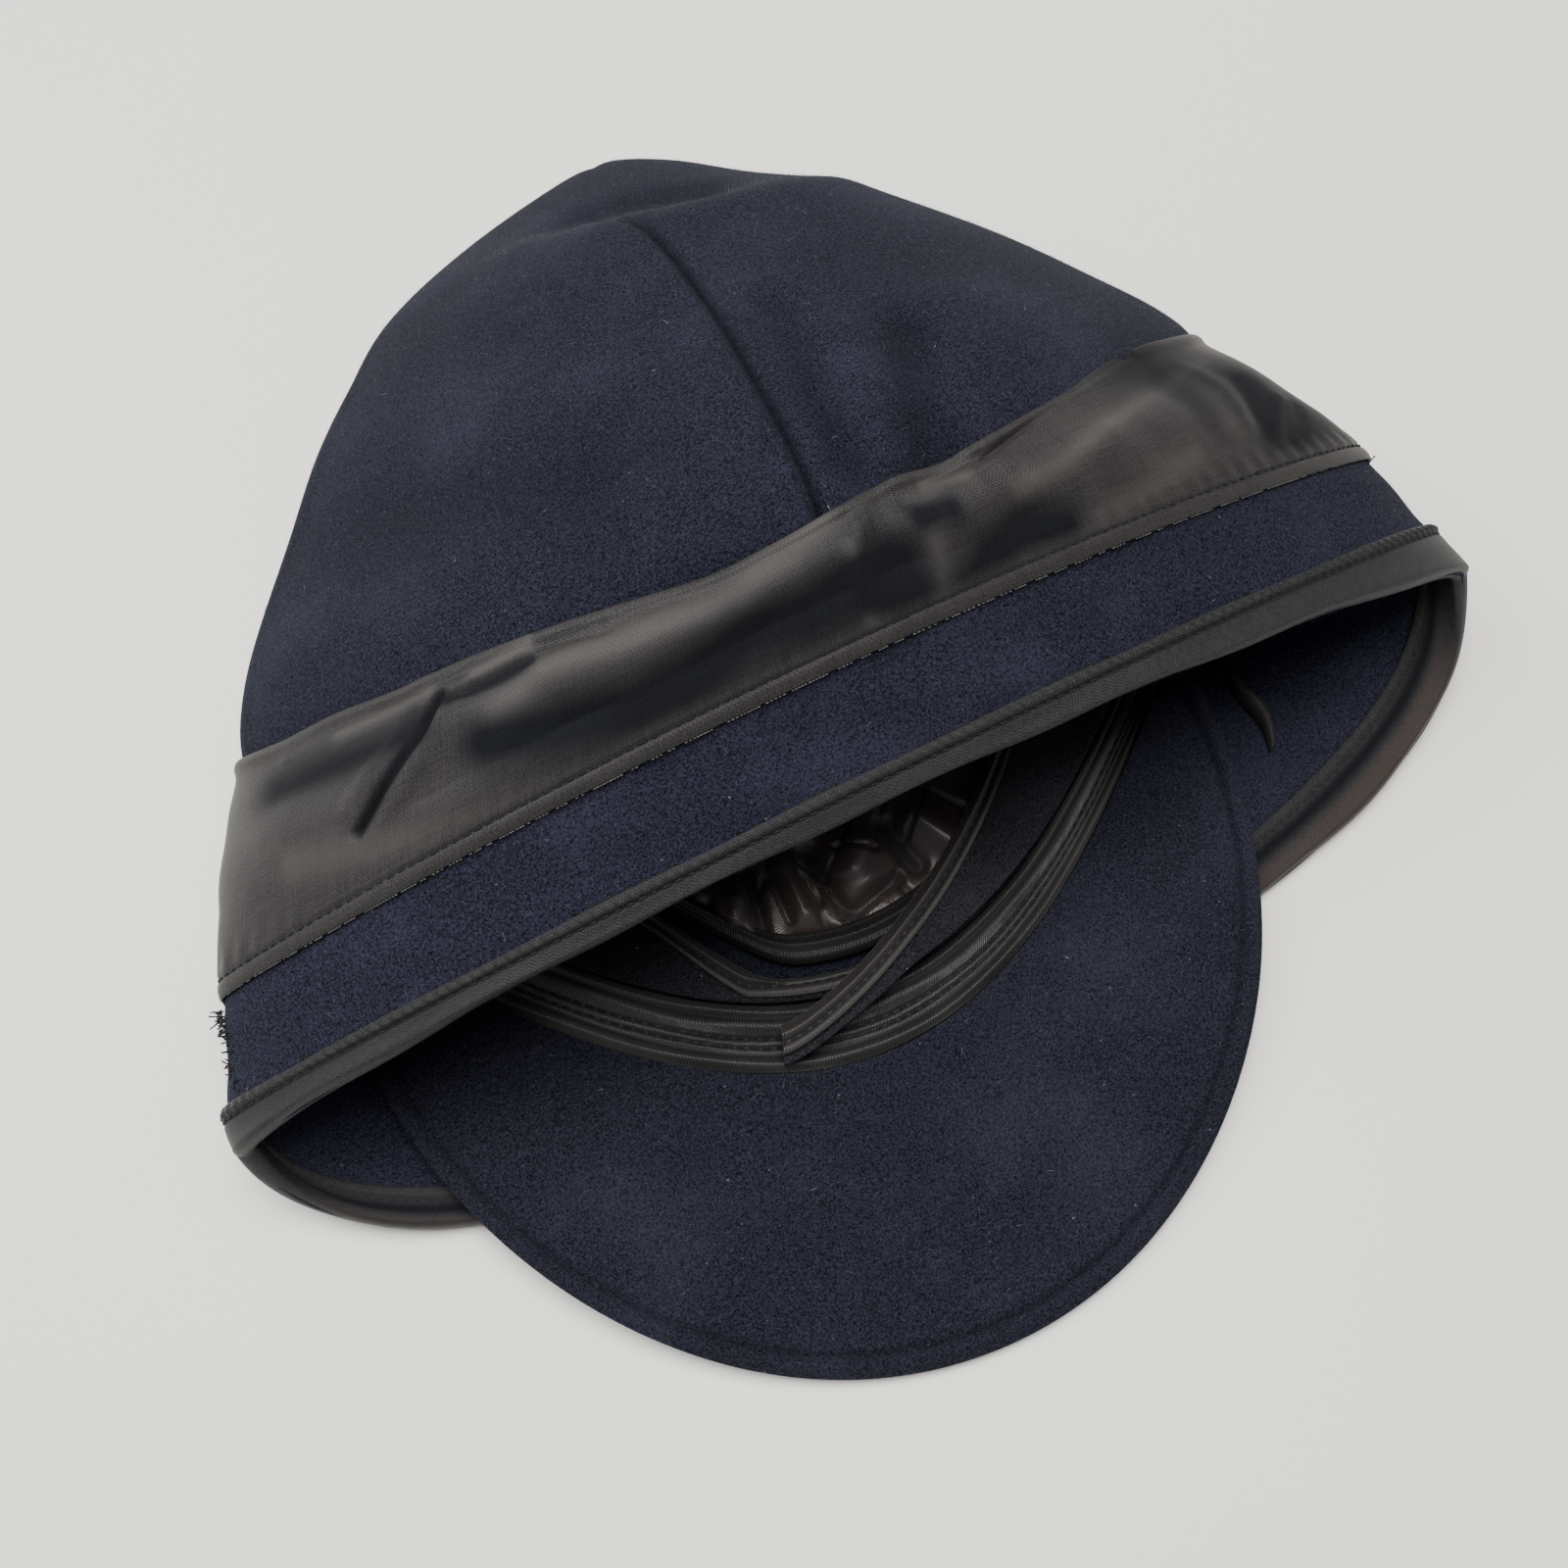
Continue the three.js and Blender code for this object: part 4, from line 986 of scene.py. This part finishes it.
# How far the strip's folded top edge reaches past the sewn line, by degrees round the cap
strip_reach = np.array([(90, 0), (115, 3), (128, 5), (139, 5.5), (150, 3), (159, 0.8), (166, 0),
                        (172, 1.2), (178, -0.5), (183, -2.5), (188.5, -4.6), (194, -3), (200, -1.2),
                        (206, 0.2), (215, 1.2), (225, 0.6), (235, 1.4), (246, 0), (262, 0)])
strip_hoops = np.vstack((band_hoops, crown_hoops[3:5]))
hoop_stride = 14.0
strip_angles = spread_stations(640, [(180, 80, 1.6), (211, 9, 1.2), (171, 9, 1.0)])
strip_low, strip_high, strip_out = sewing_row - 0.08, strip_top_row, cloth_gap + 1.0
rows_out = np.linspace(strip_low, strip_high, 88)
rows_in = np.linspace(strip_high, strip_low, 26)
turn = np.radians(np.linspace(90, -90, 8)[1:-1])
middle, radius = (cloth_gap + strip_out) / 2, (strip_out - cloth_gap) / 2
row = np.concatenate((rows_out, 0 * turn + strip_high, rows_in, 0 * turn + strip_low))
slip = np.concatenate((0 * rows_out, 1.3 * np.cos(turn), 0 * rows_in, -0.2 * np.cos(turn)))
lift = np.concatenate((0 * rows_out + strip_out, middle + radius * np.sin(turn), 0 * rows_in + cloth_gap,
                       middle - radius * np.sin(turn)))
drawn = smooth_column(np.degrees(strip_angles[:, 0]), strip_reach[:, 0], strip_reach[:, 1])[:, None]
row = row + drawn / hoop_stride * np.clip(row - 3, 0, 1) ** 2
base = hoop_point(strip_hoops, strip_angles, row)
raw_edge = hoop_point(strip_hoops, strip_angles, strip_low)
from_raw = np.linalg.norm(base - raw_edge, axis=-1)
walk = walked_round(raw_edge)
loose = slope(row, 2.28, 0.35) ** 2 * (0.3 + 0.7 * slope(row, 4, -0.4))
fold_share = 0.65
upper_side = slope(base[..., 2], 25, 15)
strip_pitch, strip_line = 2.3, 3.3
wrinkle = (0.3 * np.sin(base[..., 0] / 5.1 + 1.1 * np.sin(base[..., 1] / 6))
           + 0.2 * np.sin(base[..., 0] / 2.7 + base[..., 1] / 4.2))
pucker = hump(from_raw - strip_line, 2.2, 2.2) * 0.14 * np.sin(2 * math.pi * walk / 4.7)
groove = -0.5 * hump(from_raw, strip_line, 0.45) - 0.35 * np.clip(1 - from_raw / 1.2, 0, 1)
to_top = strip_high + drawn / hoop_stride - row
top_roll = 0.5 * hump(to_top, 0, 0.08) + crown_relief(base) * slope(row, 3.4, 0.5)
strip_lift = fold_relief(base, strip_folds, upper_side)
strip_relief = ((fold_share * strip_lift + wrinkle) * loose
                + fold_relief(base, strip_hem, upper_side)
                + pucker + groove + top_roll)
outer = lift > middle
strip_points = lay_cloth(strip_hoops, strip_angles, row, slip,
                         lift + np.where(outer, strip_relief, np.minimum(strip_relief, 0) * (row > 2.3)))
strip_points[..., 2] = np.maximum(strip_points[..., 2], 0.02)
# Painted shade where the strip turns away from the light, and a painted highlight on its crests
strip_shade = np.clip(1.15 * fold_relief(base, strip_shades, upper_side), 0, 1)
strip_hollow = strip_shade * slope(row, 2.05, 0.25)
strip_lit = (np.clip(fold_relief(base, strip_lights, upper_side), 0, 1) * (1 - strip_hollow)
             * slope(row, 2.1, 0.25))
fit_piece(sew_sweep("strip_cloth", strip_points, True, strip_cloth, hollow=strip_hollow, worn=strip_lit),
          "strip_cloth", "band_strip")
stitch_row("strip_stitches", "strip_cloth",
           [path_on(band_hoops, strip_angles, strip_low, strip_line, strip_out - 0.25)], thread_dark,
           pitch=strip_pitch, stroke=1.7, thick=0.42)
thread_pale = thread_material("pale raw thread", (0.07, 0.067, 0.064, 1), (0.2, 0.195, 0.19, 1))
raw_points, raw_out = path_on(band_hoops, strip_angles, strip_low, -0.3, 0.9)
raw_draw = np.random.default_rng(7)
raw_paths, here = [], 0
while here < len(raw_points) - 8:
    long = int(raw_draw.integers(2, 6))
    raw_paths.append((raw_points[here:here + long], raw_out[here:here + long]))
    here += long + int(raw_draw.integers(0, 4))
stitch_row("strip_raw_threads", "strip_cloth", raw_paths, thread_pale, pitch=0.6, stroke=0.7, thick=0.17)


# Dark ends of thread that stand out where the ear band frays, at the left and at the right:
# each patch has its place and the way the ends point, in mm, then its half height and their number
fray_patches = [((-117.2, -9, 30.5), (-1, 0.1, 0), 4.8, 60),
                ((-118.8, -17, 29.4), (-1, -0.5, 0), 3.4, 40),
                ((129.0, -0.2, 34.9), (0.7, 0.7, 0), 1.6, 14)]
fray_draw = np.random.default_rng(12)
fray_paths = []
for place, way, spread, count in fray_patches:
    for _ in range(count):
        root = np.array(place) + (fray_draw.uniform(-0.4, 0.4), spread * fray_draw.uniform(-1, 1),
                                  fray_draw.uniform(-1, 1))
        bend = fray_draw.normal(0, 0.5, (2, 3))
        step = np.linspace(0, 1, 7)[:, None]
        reach = fray_draw.uniform(0.6, 1.5)
        trail = root + reach * (step * (np.array(way) + bend[0]) + 0.6 * step ** 2 * bend[1])
        fray_paths.append((trail, np.tile((0.0, 0.0, 1.0), (7, 1))))
stitch_row("band_end_frays", "strip_cloth", fray_paths, thread_dark, pitch=0.3, stroke=0.5, thick=0.34)


# STRIP FOLD. A small pleat of the strip's cloth that stands up inside the ear band, beside the
# peak's right corner. It is one open loop of cloth, high in its middle and flat at both ends.
fold_start_row, fold_rows = 1.5, 0.8
fold_angle, fold_slant, fold_sway = 0.745, 0.1, 0.012
fold_step = np.linspace(0, 1, 70)[:, None]
fold_row = fold_start_row + fold_rows * fold_step
fold_middle = (fold_angle + fold_slant * (fold_row - fold_start_row)
               + fold_sway * np.sin(5.5 * fold_step))
fold_turn = np.radians(np.linspace(0, 180, 25))[None, :]
fold_half = 0.9 + 1.3 * np.sin(math.pi * fold_step)
fold_high = 1.0 + 3.0 * np.sin(math.pi * fold_step) ** 0.7
fold_thick, girth_per_radian = 0.5, 110.0
aside = np.concatenate((fold_half * np.cos(fold_turn),
                        (fold_half - fold_thick) * np.cos(fold_turn[:, ::-1])), 1)
above = np.concatenate((fold_high * np.sin(fold_turn),
                        (fold_high - fold_thick) * np.sin(fold_turn[:, ::-1])), 1) + 0.05
fold_points = lay_cloth(band_hoops, fold_middle + aside / girth_per_radian, fold_row, 0.0,
                        -wool_thick - cloth_gap - above)
fit_piece(sew_sweep("strip_fold_cloth", fold_points, False, strip_cloth), "strip_cloth", "strip_fold")


# TABLE, LIGHT AND CAMERA. A plain pale surface under soft overhead light; the camera looks down
# steeply from the mouth's side, as in the photograph.
def plain_material(name, colour, roughness):
    """A pale painted surface with a faint unevenness."""
    material, tree = new_material(name, colour, roughness)
    cloud = noise(tree, cap_place(tree), 6.0, 4.0)
    dress(tree, blend(tree, cloud, tuple(0.94 * c for c in colour[:3]) + (1,), colour))
    return material


def turn_to(way):
    """The turn that points a lamp or a camera along a direction, its top edge up."""
    return (math.atan2(math.hypot(way[0], way[1]), -way[2]), 0,
            math.atan2(way[1], way[0]) - math.pi / 2)


table_reach = 3.0
table_top = bpy.data.meshes.new("table_top")
table_top.from_pydata([(-table_reach, -table_reach, 0), (table_reach, -table_reach, 0),
                       (table_reach, table_reach, 0), (-table_reach, table_reach, 0)],
                      [], [(0, 1, 2, 3)])
table_top.materials.append(plain_material("pale table", (0.93, 0.91, 0.855, 1), 0.5))
new_piece("table_top", table_top)

world = bpy.data.worlds.new("studio")
world.use_nodes = True
world.node_tree.nodes["Background"].inputs["Color"].default_value = (0.92, 0.95, 1.0, 1)
world.node_tree.nodes["Background"].inputs["Strength"].default_value = 0.3
bpy.context.scene.world = world


def soft_light(name, place, size, watts, colour):
    """A square soft light at a place in metres, aimed at the middle of the cap's foot."""
    lamp = bpy.data.lights.new(name, "AREA")
    lamp.size = size
    lamp.energy = watts
    lamp.color = colour
    holder = new_piece(name, lamp)
    holder.location = place
    holder.rotation_euler = turn_to(-np.array(place))


soft_light("key_light", (0.05, 0.15, 1.5), 0.9, 34, (1.0, 0.985, 0.96))
soft_light("fill_light", (-0.9, 0.7, 1.2), 1.0, 19, (0.93, 0.96, 1.0))

# The camera's place in mm, and half the angle that it takes in, were fitted to the photograph
camera_place = np.array((-60.6, -124.2, 379.6))
camera_half_angle = math.radians(22.0)
camera = new_piece("camera", bpy.data.cameras.new("camera"))
camera.data.sensor_width = 36.0
camera.data.lens = 18.0 / math.tan(camera_half_angle)
camera.data.clip_start = 0.01
camera.location = (camera_place - table_origin) * 0.001
camera.rotation_euler = turn_to(-camera_place)
bpy.context.scene.camera = camera
